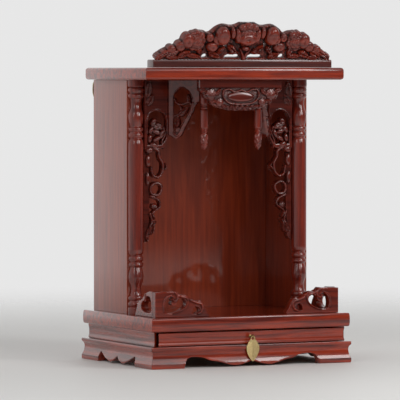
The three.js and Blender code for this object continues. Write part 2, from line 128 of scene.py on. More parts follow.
def inside_distance(u: Array, v: Array, outline: Array) -> Array:
    """Signed distance to a closed outline, negative inside: the sign turns at each edge that a ray crosses."""
    ring = np.vstack([outline, outline[:1]])
    far, _ = segment_distance(u, v, ring)
    a, b = ring[:-1], ring[1:]
    spans = (a[:, 1] > v[:, None]) != (b[:, 1] > v[:, None])
    rise = np.where(np.abs(b[:, 1] - a[:, 1]) < 1e-9, 1e-9, b[:, 1] - a[:, 1])
    cross = a[:, 0] + (v[:, None] - a[:, 1]) * (b[:, 0] - a[:, 0]) / rise
    odd = (spans & (u[:, None] < cross)).sum(1) % 2 == 1
    return np.where(odd, -far, far)


def turned_frame(u: Array, v: Array, cu: float, cv: float, tilt: float) -> tuple[Array, Array]:
    """The points as seen from (cu, cv) with the first axis turned by tilt degrees."""
    c, s = math.cos(math.radians(tilt)), math.sin(math.radians(tilt))
    return (u - cu) * c + (v - cv) * s, -(u - cu) * s + (v - cv) * c


# ---- Motifs: what a carver cuts, as a height over the board and a distance to its edge ----
@dataclass(frozen=True)
class Petal:
    """A smooth petal or bud: an oval shell with a full rim, hollowed in the middle by cup and creased by folds.

    With q from 0 in the middle to 1 at the rim, the height is base + rise * sqrt(1 - q^full) * (1 - cup * (1 - q)^2).
    The folds fan out from a point under the petal's foot, as 1 + 0.05 * cos(folds * angle).
    """

    u: float
    v: float
    ru: float
    rv: float
    tilt: float = 0
    rise: float = 5
    base: float = 0
    cup: float = 0
    folds: int = 0
    full: float = 3

    def reach(self) -> Array:
        """Its middle and its radius, as one row."""
        return np.array([[self.u, self.v, max(self.ru, self.rv)]])

    def cut(self, u: Array, v: Array) -> tuple[Array, Array]:
        """Height and edge distance at each point."""
        a, b = turned_frame(u, v, self.u, self.v, self.tilt)
        q = np.hypot(a / self.ru, b / self.rv)
        dome = np.sqrt(np.clip(1 - q**self.full, 0, 1)) * (1 - self.cup * np.clip(1 - q, 0, 1) ** 2)
        fan = np.arctan2(a / self.ru, b / self.rv + 1.3)
        crease = 0.05 * np.cos(self.folds * fan) if self.folds else 0
        return self.base + self.rise * dome * (1 + crease), (q - 1) * min(self.ru, self.rv)


@dataclass(frozen=True)
class Leaf:
    """A pointed leaf with a sunk midrib and slanting veins.

    Across, it is a half round whose width is (1 - a^2)^0.8 along it; the rib and the veins are cut into that.
    """

    u: float
    v: float
    length: float
    width: float
    tilt: float = 0
    rise: float = 4
    base: float = 0
    veins: float = 4

    def reach(self) -> Array:
        """Its middle and its radius, as one row."""
        return np.array([[self.u, self.v, self.length]])

    def cut(self, u: Array, v: Array) -> tuple[Array, Array]:
        """Height and edge distance at each point."""
        a, b = turned_frame(u, v, self.u, self.v, self.tilt)
        a = a / self.length
        half = self.width * np.clip(1 - a * a, 0, 1) ** 0.8 * (1 - 0.3 * a) + 1e-3
        half = half * (1 + 0.1 * np.cos(2 * math.pi * self.veins * a))
        q = np.abs(b) / half
        rib = 0.45 * np.exp(-((b / (0.14 * self.width)) ** 2))
        vein = 0.16 * np.cos(2 * math.pi * self.veins * (a + 0.5 * np.abs(b) / self.width))
        shape = np.sqrt(np.clip(1 - q * q, 0, 1)) * (1 - rib + vein)
        gone = np.where(np.abs(a) < 1, (q - 1) * half, self.length * np.clip(np.abs(a) - 1, 0, 9) + 0.5)
        return self.base + self.rise * shape, gone


@dataclass(frozen=True)
class Vine:
    """A rounded stem along a curve: a half round over the distance to the curve, thinner towards its tip."""

    points: tuple[tuple[float, float], ...]
    half: float
    rise: float = 4
    base: float = 0
    tip: float = 1
    closed: bool = False

    def reach(self) -> Array:
        """The points of its curve, each with the stem's half width."""
        spots = np.asarray(self.points, float)
        return np.column_stack([spots, np.full(len(spots), self.half + 2)])

    def cut(self, u: Array, v: Array) -> tuple[Array, Array]:
        """Height and edge distance at each point."""
        line = smooth_run(self.points, 6, self.closed)
        if self.closed:
            line = np.vstack([line, line[:1]])
        far, along = segment_distance(u, v, line)
        half = self.half * (1 + (self.tip - 1) * along)
        q = far / half
        return self.base + self.rise * np.sqrt(np.clip(1 - q * q, 0, 1)), far - half


@dataclass(frozen=True)
class Peony:
    """A full bloom: rings of ruffled petals round a cupped heart.

    Ring k ends at radius r_k * (0.9 + 0.1 * |cos(n a / 2 + k)|), and within it the height climbs to the rim, so
    that each ring stands over the one outside it. Fine folds run out from the heart.
    """

    u: float
    v: float
    radius: float
    rise: float = 9
    base: float = 0
    spin: float = 0

    def reach(self) -> Array:
        """Its middle and its radius, as one row."""
        return np.array([[self.u, self.v, self.radius]])

    def cut(self, u: Array, v: Array) -> tuple[Array, Array]:
        """Height and edge distance at each point."""
        a, b = u - self.u, v - self.v
        r = np.hypot(a, b) / self.radius
        turn = np.arctan2(b, a) + self.spin
        height = np.full(u.shape, -99.0)
        edge = np.full(u.shape, 99.0)
        for k, (size, petals, lift) in enumerate(((1, 9, 0.5), (0.76, 7, 0.74), (0.53, 5, 0.92), (0.3, 4, 1))):
            rim = size * (0.87 + 0.13 * np.abs(np.cos(petals * turn / 2 + k)) ** 0.6)
            q = r / rim
            fold = 0.035 * np.cos(petals * 5 * turn + 2 * k)
            ring = lift * np.sqrt(np.clip(1 - q**6, 0, 1)) * (0.72 + 0.28 * np.clip(q, 0, 1) ** 2) + fold * q
            height = np.maximum(height, np.where(q < 1, ring, -99))
            edge = np.minimum(edge, (q - 1) * rim * self.radius)
        return self.base + self.rise * np.clip(height, 0, 2), edge


Motif = Petal | Leaf | Vine | Peony


# ---- Meshes ----
def new_piece(name: str, verts: Array, faces: list[Array], sharp: float = 38) -> bpy.types.Object:
    """Makes an object of these points, in millimetres in the row frame.

    Args:
        name: the piece's name.
        verts: points, one a row.
        faces: arrays of vertex numbers, one face a row; an array has one number of corners.
        sharp: the angle in degrees past which an edge stays crisp.

    Returns:
        The object, linked to the scene.
    """
    mesh = bpy.data.meshes.new(name)
    kept = [f for f in faces if len(f)]
    loops = np.concatenate([f.ravel() for f in kept]).astype(np.int32)
    sizes = np.concatenate([np.full(len(f), f.shape[1], np.int32) for f in kept])
    mesh.vertices.add(len(verts))
    mesh.vertices.foreach_set("co", (np.asarray(verts, float) * MM).astype(np.float32).ravel())
    mesh.loops.add(len(loops))
    mesh.loops.foreach_set("vertex_index", loops)
    mesh.polygons.add(len(sizes))
    mesh.polygons.foreach_set("loop_start", np.concatenate([[0], np.cumsum(sizes)[:-1]]).astype(np.int32))
    mesh.polygons.foreach_set("use_smooth", np.ones(len(sizes), bool))
    mesh.update(calc_edges=True)
    mesh.validate()
    mesh.set_sharp_from_angle(angle=math.radians(sharp))
    made = bpy.data.objects.new(name, mesh)
    bpy.context.scene.collection.objects.link(made)
    return made


def grid_faces(rows: int, columns: int, wrap: bool = False) -> Array:
    """Quads between the rows of a grid of points, joined round the columns if wrap is set."""
    i, j = np.meshgrid(np.arange(rows - 1), np.arange(columns if wrap else columns - 1), indexing="ij")
    k = (j + 1) % columns
    quads = (i * columns + j, i * columns + k, (i + 1) * columns + k, (i + 1) * columns + j)
    return np.stack(quads, -1).reshape(-1, 4)


def soft_mean(grid: Array, reach: int) -> Array:
    """Mean of each square of 2 reach + 1 cells: steps of a running sum, along one axis and then the other."""
    for axis in (0, 1):
        room = [(0, 0), (0, 0)]
        room[axis] = (reach + 1, reach)
        total = np.moveaxis(np.cumsum(np.pad(grid, room, mode="edge"), axis), axis, 0)
        grid = np.moveaxis((total[2 * reach + 1 :] - total[: -2 * reach - 1]) / (2 * reach + 1), 0, axis)
    return grid


@dataclass(frozen=True)
class Placement:
    """Where a board lies: its own axes along, up and out, from its origin, in millimetres."""

    origin: tuple[float, float, float]
    along: tuple[float, float, float] = (1, 0, 0)
    up: tuple[float, float, float] = (0, 0, 1)
    mirror: bool = False

    def place(self, u: Array, v: Array, w: Array) -> Array:
        """The points origin + u along + v up + w out, with X turned over if the board is the mirrored one."""
        axes = np.array([self.along, self.up, np.cross(self.along, self.up)], float)
        made = np.array(self.origin, float) + np.stack([u, v, w], -1) @ axes
        return made * ([-1, 1, 1] if self.mirror else [1, 1, 1])


@dataclass
class CarvedBoard:
    """A pierced board with relief on its face and a flat back."""

    name: str
    where: Placement
    outline: Array
    thick: float
    holes: list[Array] = field(default_factory=list)
    motifs: list[Motif] = field(default_factory=list)
    ground: Callable[[Array, Array], Array] | None = None
    cell: float = 0.9
    edge: float = 1.2
    limit: tuple[float, float, float, float] | None = None
    mitre: tuple[float, float] | None = None
    room: tuple[Array, Array] | None = None

    def surface(self, u: Array, v: Array) -> tuple[Array, Array]:
        """Front height and signed edge distance at each point: the highest of the board and its motifs, and the
        nearest edge among them, kept within the limit."""
        edge = inside_distance(u, v, self.outline)
        for hole in self.holes:
            edge = np.maximum(edge, -inside_distance(u, v, hole))
        flat = self.ground(u, v) if self.ground else np.zeros(u.shape)
        height = np.where(edge < 0.3, flat, -99.0)
        for motif in self.motifs:
            rise, gone = motif.cut(u, v)
            height = np.maximum(height, np.where(gone < 0.3, rise, -99.0))
            edge = np.minimum(edge, gone)
        if self.limit:
            u0, u1, v0, v1 = self.limit
            edge = np.maximum.reduce([edge, u0 - u, u - u1, v0 - v, v - v1])
        return height, edge

    def build(self) -> bpy.types.Object:
        """Cuts a triangle grid along the zero of the edge distance and closes it with walls and a flat back.

        Returns:
            The board as one closed mesh, with a point attribute of painted shade: it climbs from 0 on the high places
            to 1 in the grooves, where the surface lies well under its own mean over some 4 mm each way, and more on the
            lower places.
        """
        h = self.cell
        spread = np.vstack([motif.reach() for motif in self.motifs]) if self.motifs else np.zeros((0, 3))
        low = np.vstack([self.outline, spread[:, :2] - spread[:, 2:]]).min(0) - 3 * h
        high = np.vstack([self.outline, spread[:, :2] + spread[:, 2:]]).max(0) + 3 * h
        uu, vv = np.meshgrid(np.arange(low[0], high[0], h), np.arange(low[1], high[1], h), indexing="ij")
        rows, columns = uu.shape
        u, v = uu.ravel(), vv.ravel()
        height, edge = self.surface(u, v)
        edge = np.where(np.abs(edge) < 0.06 * h, -0.06 * h, edge)
        shown = np.maximum(height, -5).reshape(rows, columns)
        groove = (soft_mean(shown, max(2, round(3.5 / h))) - shown).ravel()
        quad = grid_faces(rows, columns)
        tris = np.vstack([quad[:, [0, 3, 2]], quad[:, [0, 2, 1]]])
        solid = edge < 0
        count = solid[tris].sum(1)
        full, one, two = tris[count == 3], tris[count == 1], tris[count == 2]
        one = one[np.arange(len(one))[:, None], (solid[one].argmax(1)[:, None] + np.arange(3)) % 3]
        two = two[np.arange(len(two))[:, None], ((~solid[two]).argmax(1)[:, None] + np.arange(3)) % 3]
        cuts = np.vstack([one[:, [0, 1]], one[:, [0, 2]], two[:, [0, 1]], two[:, [0, 2]]])
        pairs, back = np.unique(np.sort(cuts, 1), axis=0, return_inverse=True)
        ids = back.ravel() + len(u)
        n, m = len(one), len(two)
        e1, e2, e3, e4 = ids[:n], ids[n : 2 * n], ids[2 * n : 2 * n + m], ids[2 * n + m :]
        a, b = pairs[:, 0], pairs[:, 1]
        t = (edge[a] / (edge[a] - edge[b]))[:, None]
        spots = (1 - t) * np.stack([u[a], v[a]], 1) + t * np.stack([u[b], v[b]], 1)
        inner = np.where(solid[a], height[a], height[b])
        groove = np.append(groove, np.where(solid[a], groove[a], groove[b]))
        faces = np.vstack(
            [full, np.stack([one[:, 0], e1, e2], 1), np.stack([e3, two[:, 1], two[:, 2]], 1),
             np.stack([e3, two[:, 2], e4], 1)]
        )
        rim = np.vstack([np.stack([e1, e2], 1), np.stack([e4, e3], 1)])
        u, v = np.append(u, spots[:, 0]), np.append(v, spots[:, 1])
        drop = np.clip(1 + np.append(edge, np.zeros(len(spots))) / self.edge, 0, 1)
        w = np.append(height, inner) - self.edge * (1 - np.sqrt(np.clip(1 - drop**2, 0, 1))) * 0.8
        w = np.maximum(w, -self.thick + 0.4)
        used, packed = np.unique(faces, return_inverse=True)
        faces = packed.reshape(faces.shape)
        lookup = np.zeros(len(u), int)
        lookup[used] = np.arange(len(used))
        rim = lookup[rim]
        u, v, w, groove = u[used], v[used], w[used], groove[used]
        size = len(u)
        front, behind = self.lay(u, v, w), self.lay(u, v, np.full(size, -self.thick))
        walls = np.stack([rim[:, 1], rim[:, 0], rim[:, 0] + size, rim[:, 1] + size], 1)
        sides = [faces, faces[:, ::-1] + size, walls]
        if self.where.mirror:
            sides = [s[:, ::-1] for s in sides]
        made = new_piece(self.name, np.vstack([front, behind]), sides)
        # Painted shade: darker in the grooves and on the lower places of the relief; the back gets a flat 0.4.
        sunk = np.clip((w.max() - w) / (w.max() + 5), 0, 1)
        painted_shade = np.clip(0.42 * groove + 0.7 * sunk**1.5, 0, 1)
        layer = made.data.attributes.new("painted_shade", "FLOAT", "POINT")
        layer.data.foreach_set("value", np.append(painted_shade, np.full(size, 0.4)).astype(np.float32)[: len(layer.data)])
        return made

    def lay(self, u: Array, v: Array, w: Array) -> Array:
        """Places points on the board, its near end slanted by the mitre, and keeps them in the room they have.

        The mitre is (start, slope): at depth w the end lies at start + slope * w, fading out over 20 mm.
        """
        if self.mitre:
            start, slope = self.mitre
            u = u + (start + slope * w) * np.clip(1 - u / 20, 0, 1)
        made = self.where.place(u, v, w)
        return np.clip(made, self.room[0], self.room[1]) if self.room else made


def rounded_box(name: str, low: Vector, high: Vector, radius: float) -> bpy.types.Object:
    """A box with soft edges: each point is the nearest point of a smaller box plus radius towards the surface.

    Args:
        name: the piece's name.
        low: lowest corner in metres.
        high: highest corner in metres.
        radius: edge radius in millimetres.

    Returns:
        The box as one closed mesh.
    """
    lo, hi = np.array(low) / MM, np.array(high) / MM
    centre, half = (lo + hi) / 2, (hi - lo) / 2
    bend = np.linspace(0, 1, 5) * radius
    verts, faces = [], []
    for axis in range(3):
        a, b = (axis + 1) % 3, (axis + 2) % 3
        ka = np.concatenate([-half[a] + bend, half[a] - bend[::-1]])
        kb = np.concatenate([-half[b] + bend, half[b] - bend[::-1]])
        for side in (-1, 1):
            ga, gb = np.meshgrid(ka, kb, indexing="ij")
            p = np.zeros((ga.size, 3))
            p[:, a], p[:, b], p[:, axis] = ga.ravel(), gb.ravel(), side * half[axis]
            core = np.clip(p, -half + radius, half - radius)
            way = p - core
            p = core + radius * way / np.maximum(np.linalg.norm(way, axis=1, keepdims=True), 1e-9)
            quads = grid_faces(len(ka), len(kb)) + sum(len(x) for x in verts)
            faces.append(quads[:, ::-1] if side > 0 else quads)
            verts.append(p + centre)
    every = np.vstack(verts)
    _, first, packed = np.unique(np.round(every, 3), axis=0, return_index=True, return_inverse=True)
    quads = packed.ravel()[np.vstack(faces)]
    return new_piece(name, every[first], [quads])


def lathe(name: str, profile: Array, x: float, y: float, sides: int = 72, flute: float = 0,
          fluted: tuple[float, float] = (0, 0)) -> bpy.types.Object:
    """Turns a profile of (radius, z) about an upright axis, with spiral flutes over one stretch of z.

    The radius there is r * (1 + flute * cos(6 a + 0.5 z)).
    """
    a = np.linspace(0, 2 * math.pi, sides, endpoint=False)
    profile = profile if profile[-1, 1] > profile[0, 1] else profile[::-1]
    r, z = profile[:, :1], profile[:, 1:]
    marked = (z > fluted[0]) & (z < fluted[1])
    r = r * (1 + np.where(marked, flute * np.cos(6 * a + 0.5 * z), 0))
    ring = np.stack([x + r * np.cos(a), y + r * np.sin(a), np.broadcast_to(z, r.shape)], -1).reshape(-1, 3)
    poles = np.array([[x, y, profile[0, 1]], [x, y, profile[-1, 1]]])
    count = len(profile)
    side = grid_faces(count, sides, wrap=True)
    now, after = np.arange(sides), (np.arange(sides) + 1) % sides
    first = np.stack([np.full(sides, count * sides), after, now], 1)
    last = np.stack([np.full(sides, count * sides + 1), (count - 1) * sides + now, (count - 1) * sides + after], 1)
    return new_piece(name, np.vstack([ring, poles]), [side, first, last])


# ---- Finishes ----
MIX_A, MIX_B, MIX_RESULT = 6, 7, 2  # the colour sockets of a Mix node


def grain_group() -> bpy.types.NodeTree:
    """The shared grain: long streaks and fine pores in two woods' colours, with painted shade mixed towards near black
    where the carving's shade attribute is high.
    """
    tree = bpy.data.node_groups.new("LacquerGrain", "ShaderNodeTree")
    face = tree.interface
    for name, kind in (("Light", "NodeSocketColor"), ("Dark", "NodeSocketColor"), ("PaintedShade", "NodeSocketFloat"),
                       ("Stretch", "NodeSocketVector"), ("Gloss", "NodeSocketFloat")):
        face.new_socket(name=name, in_out="INPUT", socket_type=kind)
    for name, kind in (("Color", "NodeSocketColor"), ("Roughness", "NodeSocketFloat"), ("Height", "NodeSocketFloat"),
                       ("Coat", "NodeSocketFloat")):
        face.new_socket(name=name, in_out="OUTPUT", socket_type=kind)
    add, link = tree.nodes.new, tree.links.new
    entry, leave = add("NodeGroupInput"), add("NodeGroupOutput")
    where, scale = add("ShaderNodeTexCoord"), add("ShaderNodeVectorMath")
    scale.operation = "MULTIPLY"
    link(where.outputs["Object"], scale.inputs[0])
    link(entry.outputs["Stretch"], scale.inputs[1])
    streak, pore = add("ShaderNodeTexNoise"), add("ShaderNodeTexNoise")
    streak.inputs["Scale"].default_value = 8
    streak.inputs["Detail"].default_value = 5
    streak.inputs["Distortion"].default_value = 0.5
    pore.inputs["Scale"].default_value = 50
    pore.inputs["Detail"].default_value = 3
    for noise in (streak, pore):
        link(scale.outputs[0], noise.inputs["Vector"])
    ramp = add("ShaderNodeMapRange")
    ramp.inputs["From Min"].default_value = 0.34
    ramp.inputs["From Max"].default_value = 0.66
    link(streak.outputs["Fac"], ramp.inputs["Value"])
    tone, fine, shade_mix = add("ShaderNodeMix"), add("ShaderNodeMix"), add("ShaderNodeMix")
    for mix in (tone, fine, shade_mix):
        mix.data_type = "RGBA"
    link(ramp.outputs["Result"], tone.inputs[0])
    link(entry.outputs["Dark"], tone.inputs[MIX_A])
    link(entry.outputs["Light"], tone.inputs[MIX_B])
    pores = add("ShaderNodeMapRange")
    pores.inputs["From Min"].default_value = 0.56
    pores.inputs["From Max"].default_value = 0.72
    pores.inputs["To Max"].default_value = 0.45
    link(pore.outputs["Fac"], pores.inputs["Value"])
    link(pores.outputs["Result"], fine.inputs[0])
    link(tone.outputs[MIX_RESULT], fine.inputs[MIX_A])
    link(entry.outputs["Dark"], fine.inputs[MIX_B])
    # Painted shade: the carving's shade attribute times the finish's weight mixes the colour towards near black, and
    # thins the coat there too.
    painted_shade, shade_amount = add("ShaderNodeAttribute"), add("ShaderNodeMath")
    painted_shade.attribute_name = "painted_shade"
    shade_amount.operation = "MULTIPLY"
    link(painted_shade.outputs["Fac"], shade_amount.inputs[0])
    link(entry.outputs["PaintedShade"], shade_amount.inputs[1])
    link(shade_amount.outputs[0], shade_mix.inputs[0])
    link(fine.outputs[MIX_RESULT], shade_mix.inputs[MIX_A])
    # The colour of the painted shade.
    shade_mix.inputs[MIX_B].default_value = (0.012, 0.003, 0.002, 1)
    rough = add("ShaderNodeMath")
    rough.operation = "MULTIPLY_ADD"
    rough.inputs[1].default_value = 0.14
    link(pore.outputs["Fac"], rough.inputs[0])
    link(entry.outputs["Gloss"], rough.inputs[2])
    dull = add("ShaderNodeMapRange")
    dull.inputs["From Min"].default_value = 0.12
    dull.inputs["From Max"].default_value = 0.6
    dull.inputs["To Min"].default_value = 1
    dull.inputs["To Max"].default_value = 0.08
    link(shade_amount.outputs[0], dull.inputs["Value"])
    link(dull.outputs["Result"], leave.inputs["Coat"])
    link(shade_mix.outputs[MIX_RESULT], leave.inputs["Color"])
    link(rough.outputs[0], leave.inputs["Roughness"])
    link(streak.outputs["Fac"], leave.inputs["Height"])
    return tree


@dataclass(frozen=True)
class Finish:
    """Lacquered or bare wood: two tones of grain under a clear coat."""

    name: str
    slot: Slot
    light: tuple[float, float, float]
    dark: tuple[float, float, float]
    grain: Grain
    # Weight of the painted shade in the carving's grooves; 0 leaves it out.
    shade_mix: float = 0
    gloss: float = 0.22
    coat: float = 1
    bump: float = 0.12

    def material(self, group: bpy.types.NodeTree) -> bpy.types.Material:
        """Builds the finish from the shared grain group."""
        made = bpy.data.materials.new(self.name)
        made.use_nodes = True
        nodes, link = made.node_tree.nodes, made.node_tree.links.new
        shader = nodes["Principled BSDF"]
        grain = nodes.new("ShaderNodeGroup")
        grain.node_tree = group
        grain.inputs["Light"].default_value = (*self.light, 1)
        grain.inputs["Dark"].default_value = (*self.dark, 1)
        grain.inputs["PaintedShade"].default_value = self.shade_mix
        grain.inputs["Stretch"].default_value = self.grain.value
        grain.inputs["Gloss"].default_value = self.gloss
        bump = nodes.new("ShaderNodeBump")
        bump.inputs["Strength"].default_value = self.bump
        bump.inputs["Distance"].default_value = 0.0006
        link(grain.outputs["Color"], shader.inputs["Base Color"])
        link(grain.outputs["Roughness"], shader.inputs["Roughness"])
        link(grain.outputs["Height"], bump.inputs["Height"])
        link(bump.outputs["Normal"], shader.inputs["Normal"])
        # Carved finishes take their coat from the group, thinned where the shade is painted.
        if self.shade_mix:
            sheen = nodes.new("ShaderNodeMath")
            sheen.operation = "MULTIPLY"
            sheen.inputs[1].default_value = self.coat
            link(grain.outputs["Coat"], sheen.inputs[0])
            link(sheen.outputs[0], shader.inputs["Coat Weight"])
        else:
            shader.inputs["Coat Weight"].default_value = self.coat
        shader.inputs["Coat Roughness"].default_value = 0.07
        shader.inputs["Coat IOR"].default_value = 1.5
        shader.inputs["Specular IOR Level"].default_value = 0.25
        return made


@dataclass(frozen=True)
class BrassFinish:
    """Pressed brass, mottled by handling."""

    name: str
    light: tuple[float, float, float]
    dark: tuple[float, float, float]
    roughness: float = 0.3

    def material(self) -> bpy.types.Material:
        """Builds the metal with a soft mottle in its colour and roughness."""
        made = bpy.data.materials.new(self.name)
        made.use_nodes = True
        nodes, link = made.node_tree.nodes, made.node_tree.links.new
        shader = nodes["Principled BSDF"]
        where, noise, mix = (nodes.new(f"ShaderNode{n}") for n in ("TexCoord", "TexNoise", "Mix"))
        mix.data_type = "RGBA"
        noise.inputs["Scale"].default_value = 260
        noise.inputs["Detail"].default_value = 4
        link(where.outputs["Object"], noise.inputs["Vector"])
        link(noise.outputs["Fac"], mix.inputs[0])
        mix.inputs[MIX_A].default_value = (*self.dark, 1)
        mix.inputs[MIX_B].default_value = (*self.light, 1)
        link(mix.outputs[MIX_RESULT], shader.inputs["Base Color"])
        rough = nodes.new("ShaderNodeMapRange")
        rough.inputs["To Min"].default_value = self.roughness - 0.06
        rough.inputs["To Max"].default_value = self.roughness + 0.12
        link(noise.outputs["Fac"], rough.inputs["Value"])
        link(rough.outputs["Result"], shader.inputs["Roughness"])
        shader.inputs["Metallic"].default_value = 1
        return made


RED = dict(light=(0.37, 0.034, 0.008), dark=(0.1, 0.008, 0.004))
FINISHES = {
    "board": Finish("lacquer_board", Slot.LACQUER, grain=Grain.ALONG_X, **RED),
    "board_side": Finish("lacquer_side_board", Slot.LACQUER, grain=Grain.ALONG_Y, **RED),
    "turned": Finish("lacquer_turned", Slot.LACQUER, (0.25, 0.028, 0.013), (0.09, 0.009, 0.006), Grain.UPRIGHT),
    "panel": Finish("lacquer_panel", Slot.PANEL, (0.32, 0.042, 0.011), (0.2, 0.024, 0.007), Grain.UPRIGHT, gloss=0.3),
    "carving": Finish("lacquer_carving", Slot.CARVING, (0.17, 0.02, 0.01), (0.07, 0.008, 0.005), Grain.ALONG_X,
                      shade_mix=0.8, gloss=0.14),
    "crest": Finish("lacquer_crest", Slot.CARVING, (0.25, 0.024, 0.008), (0.11, 0.01, 0.005), Grain.ALONG_X,
                    shade_mix=0.95, gloss=0.18, coat=0.75),
    # The strip's lacquer is a darker copy of the board's: painted shade for the crest's shadow over it.
    "strip": Finish("lacquer_strip_painted_shade", Slot.LACQUER, (0.12, 0.014, 0.007), (0.05, 0.006, 0.004), Grain.ALONG_X, gloss=0.24),
    "raw": Finish("drawer_wood", Slot.DRAWER_WOOD, (0.42, 0.22, 0.11), (0.26, 0.12, 0.055), Grain.ALONG_Y, gloss=0.55,
                  coat=0),
}
BRASS = {
    "leaf": BrassFinish("brass_leaf", (0.78, 0.62, 0.32), (0.6, 0.43, 0.18), 0.34),
    "fitting": BrassFinish("brass_fitting", (0.42, 0.31, 0.12), (0.2, 0.14, 0.06), 0.4),
}


class Workshop:
    """Holds the built materials, and sends each finished piece to its body and node."""

    def __init__(self) -> None:
        """Builds every finish once."""
        group = grain_group()
        self.materials = {key: finish.material(group) for key, finish in FINISHES.items()}
        self.materials |= {key: finish.material() for key, finish in BRASS.items()}
        self.slots = {key: finish.slot for key, finish in FINISHES.items()} | {key: Slot.BRASS for key in BRASS}

    def fit(self, made: bpy.types.Object, finish: str, body: Body, *nodes: str) -> bpy.types.Object:
        """Dresses a piece and puts it in place of its CAD nodes.

        Args:
            made: the new piece.
            finish: a key of FINISHES or BRASS.
            body: the body that carries it.
            nodes: the CAD nodes that it stands for.

        Returns:
            The same piece.
        """
        made.data.materials.append(self.materials[finish])
        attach(made, body.value)
        if nodes:
            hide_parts(*nodes)
        LOG.info("%s: %d faces, %s", made.name, len(made.data.polygons), finish)
        return made

    def paint(self, node: str, finish: str) -> None:
        """Gives a CAD node that stays a finish of its own."""
        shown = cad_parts[node]
        shown.data.materials.clear()
        shown.data.materials.append(self.materials[finish])
        LOG.info("%s: kept, %s", node, finish)


def bounds_mm(node: str) -> tuple[Array, Array]:
    """A node's lowest and highest corners in millimetres."""
    low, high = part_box(node)
    return np.array(low) / MM, np.array(high) / MM


# ---- Mouldings ----
PLINTH_FACE = ((1.2, 1.0), (0.25, 0.985), (0, 0.95), (0, 0.885), (0.5, 0.855), (1.7, 0.82), (3.4, 0.75), (4.2, 0.65),
               (4, 0.53), (3.1, 0.41), (1.7, 0.3), (0.4, 0.222), (0, 0.207), (0, 0.19), (0, 0))
WAIST_FACE = ((0.5, 1.0), (0, 0.97), (0, 0.89), (0.5, 0.8), (0.9, 0.64), (0.9, 0.6), (0.9, 0.3), (0.5, 0.2), (0, 0.11),
              (0, 0.03), (0.5, 0))
DECK_FACE = ((4.2, 1.0), (2.2, 0.985), (1.1, 0.94), (0.5, 0.86), (0.1, 0.7), (0, 0.5), (0.1, 0.3), (0.5, 0.14), (1.1, 0.06),
             (2.2, 0.015), (4.2, 0))
TOP_FACE = ((4.2, 1.0), (1.7, 0.94), (0.3, 0.83), (0, 0.66), (0, 0.36), (0.3, 0.17), (1.7, 0.06), (4.2, 0))


@dataclass
class MouldedBoard:
    """One mitred board of a moulded frame, its face looking out, its lower edge sawn to a half outline."""

    name: str
    half: float
    thick: float
    low: float
    high: float
    face: Points
    arch: Points | None = None
    ends: tuple[float, float] = (0, 0)

    def build(self, turn: float, middle: tuple[float, float]) -> bpy.types.Object:
        """Sweeps the closed section along the board: at x the section's foot is lifted to the sawn edge, and
        near the ends x shrinks by the depth, which makes the mitre.

        Args:
            turn: degrees about Z from facing -Y.
            middle: x and y of the middle of the outer face, in millimetres.

        Returns:
            The board as one closed mesh.
        """
        x0, x1 = -self.half + self.ends[0], self.half - self.ends[1]
        bulk = np.linspace(x0, x1, 61)
        if self.arch:
            edge = smooth_run(self.arch, 5)
            edge = edge[np.concatenate([[True], np.diff(edge[:, 0]) < -1e-3])]
            half_x, half_z = edge[::-1, 0], edge[::-1, 1]
            x = np.concatenate([bulk[bulk < -half_x[-1] - 1], -half_x[::-1], half_x[1:], bulk[bulk > half_x[-1] + 1]])
            foot = np.interp(np.abs(x), half_x, half_z, right=0)
        else:
            x, foot = bulk, np.zeros(len(bulk))
        tall = self.high - self.low
        curve = smooth_run(self.face, 4)
        inset, share = np.maximum(curve[:, 0], 0), np.clip(curve[:, 1], 0, 1)
        rise = foot[:, None] + (tall - foot[:, None]) * share
        order = share.argsort()
        depth = np.interp(rise / tall, share[order], inset[order])
        depth = depth + 0.7 * np.clip(1 - (rise - foot[:, None]) / 0.8, 0, 1) ** 2
        z = np.hstack([rise, foot[:, None], np.full((len(x), 1), tall)]) + self.low
        y = np.hstack([depth, np.full((len(x), 2), self.thick)])
        blend = 30
        left = np.clip((x0 + blend - x) / blend, 0, 1)[:, None]
        right = np.clip((x - x1 + blend) / blend, 0, 1)[:, None]
        xs = x[:, None] + y * left - y * right
        spun = math.radians(turn)
        px = xs * math.cos(spun) - y * math.sin(spun) + middle[0]
        py = xs * math.sin(spun) + y * math.cos(spun) + middle[1]
        count, section = z.shape
        verts = np.stack([px, py, z], -1).reshape(-1, 3)
        caps = np.stack([np.arange(section)[::-1], (count - 1) * section + np.arange(section)])
        return new_piece(self.name, verts, [grid_faces(count, section, wrap=True), caps[:1], caps[1:]], 30)


def moulded_slab(name: str, low: Array, high: Array, face: Points) -> bpy.types.Object:
    """A slab with its moulding on all four edges: at each height the plan is the rectangle drawn in by the
    moulding's inset, its corners rounded by 1.2 mm. One more ring, 4 mm in, borders each flat face.

    Args:
        name: the piece's name.
        low: lowest corner in millimetres.
        high: highest corner in millimetres.
        face: (inset, share of the height) down the edge.

    Returns:
        The slab as one closed mesh.
    """
    curve = smooth_run(face, 5)
    rim = np.array([(4, 0)])
    curve = np.vstack([curve[:1] + rim, curve, curve[-1:] + rim])
    centre, half = (low + high) / 2, (high - low) / 2
    corner = 1.2
    turn = np.linspace(0, math.pi / 2, 5)
    quarter = np.stack([np.cos(turn), np.sin(turn)], 1)
    around, sign = [], []
    for k, (sx, sy) in enumerate(((1, 1), (-1, 1), (-1, -1), (1, -1))):
        arc = quarter if k % 2 == 0 else quarter[::-1]
        around.append(arc * (sx, sy))
        sign.append(np.tile((sx, sy), (5, 1)))
    arc, sign = np.vstack(around), np.vstack(sign)
    size = half[:2] - np.maximum(curve[:, :1], 0) - corner
    plan = size[:, None, :] * sign + corner * arc
    z = low[2] + (high[2] - low[2]) * np.clip(curve[:, 1], 0, 1)
    verts = np.dstack([plan + centre[:2], np.broadcast_to(z[:, None], plan.shape[:2])]).reshape(-1, 3)
    count, ring = plan.shape[:2]
    caps = [np.arange(ring)[None], ((count - 1) * ring + np.arange(ring))[::-1][None]]
    return new_piece(name, verts, [grid_faces(count, ring, wrap=True)[:, ::-1], *caps], 30)


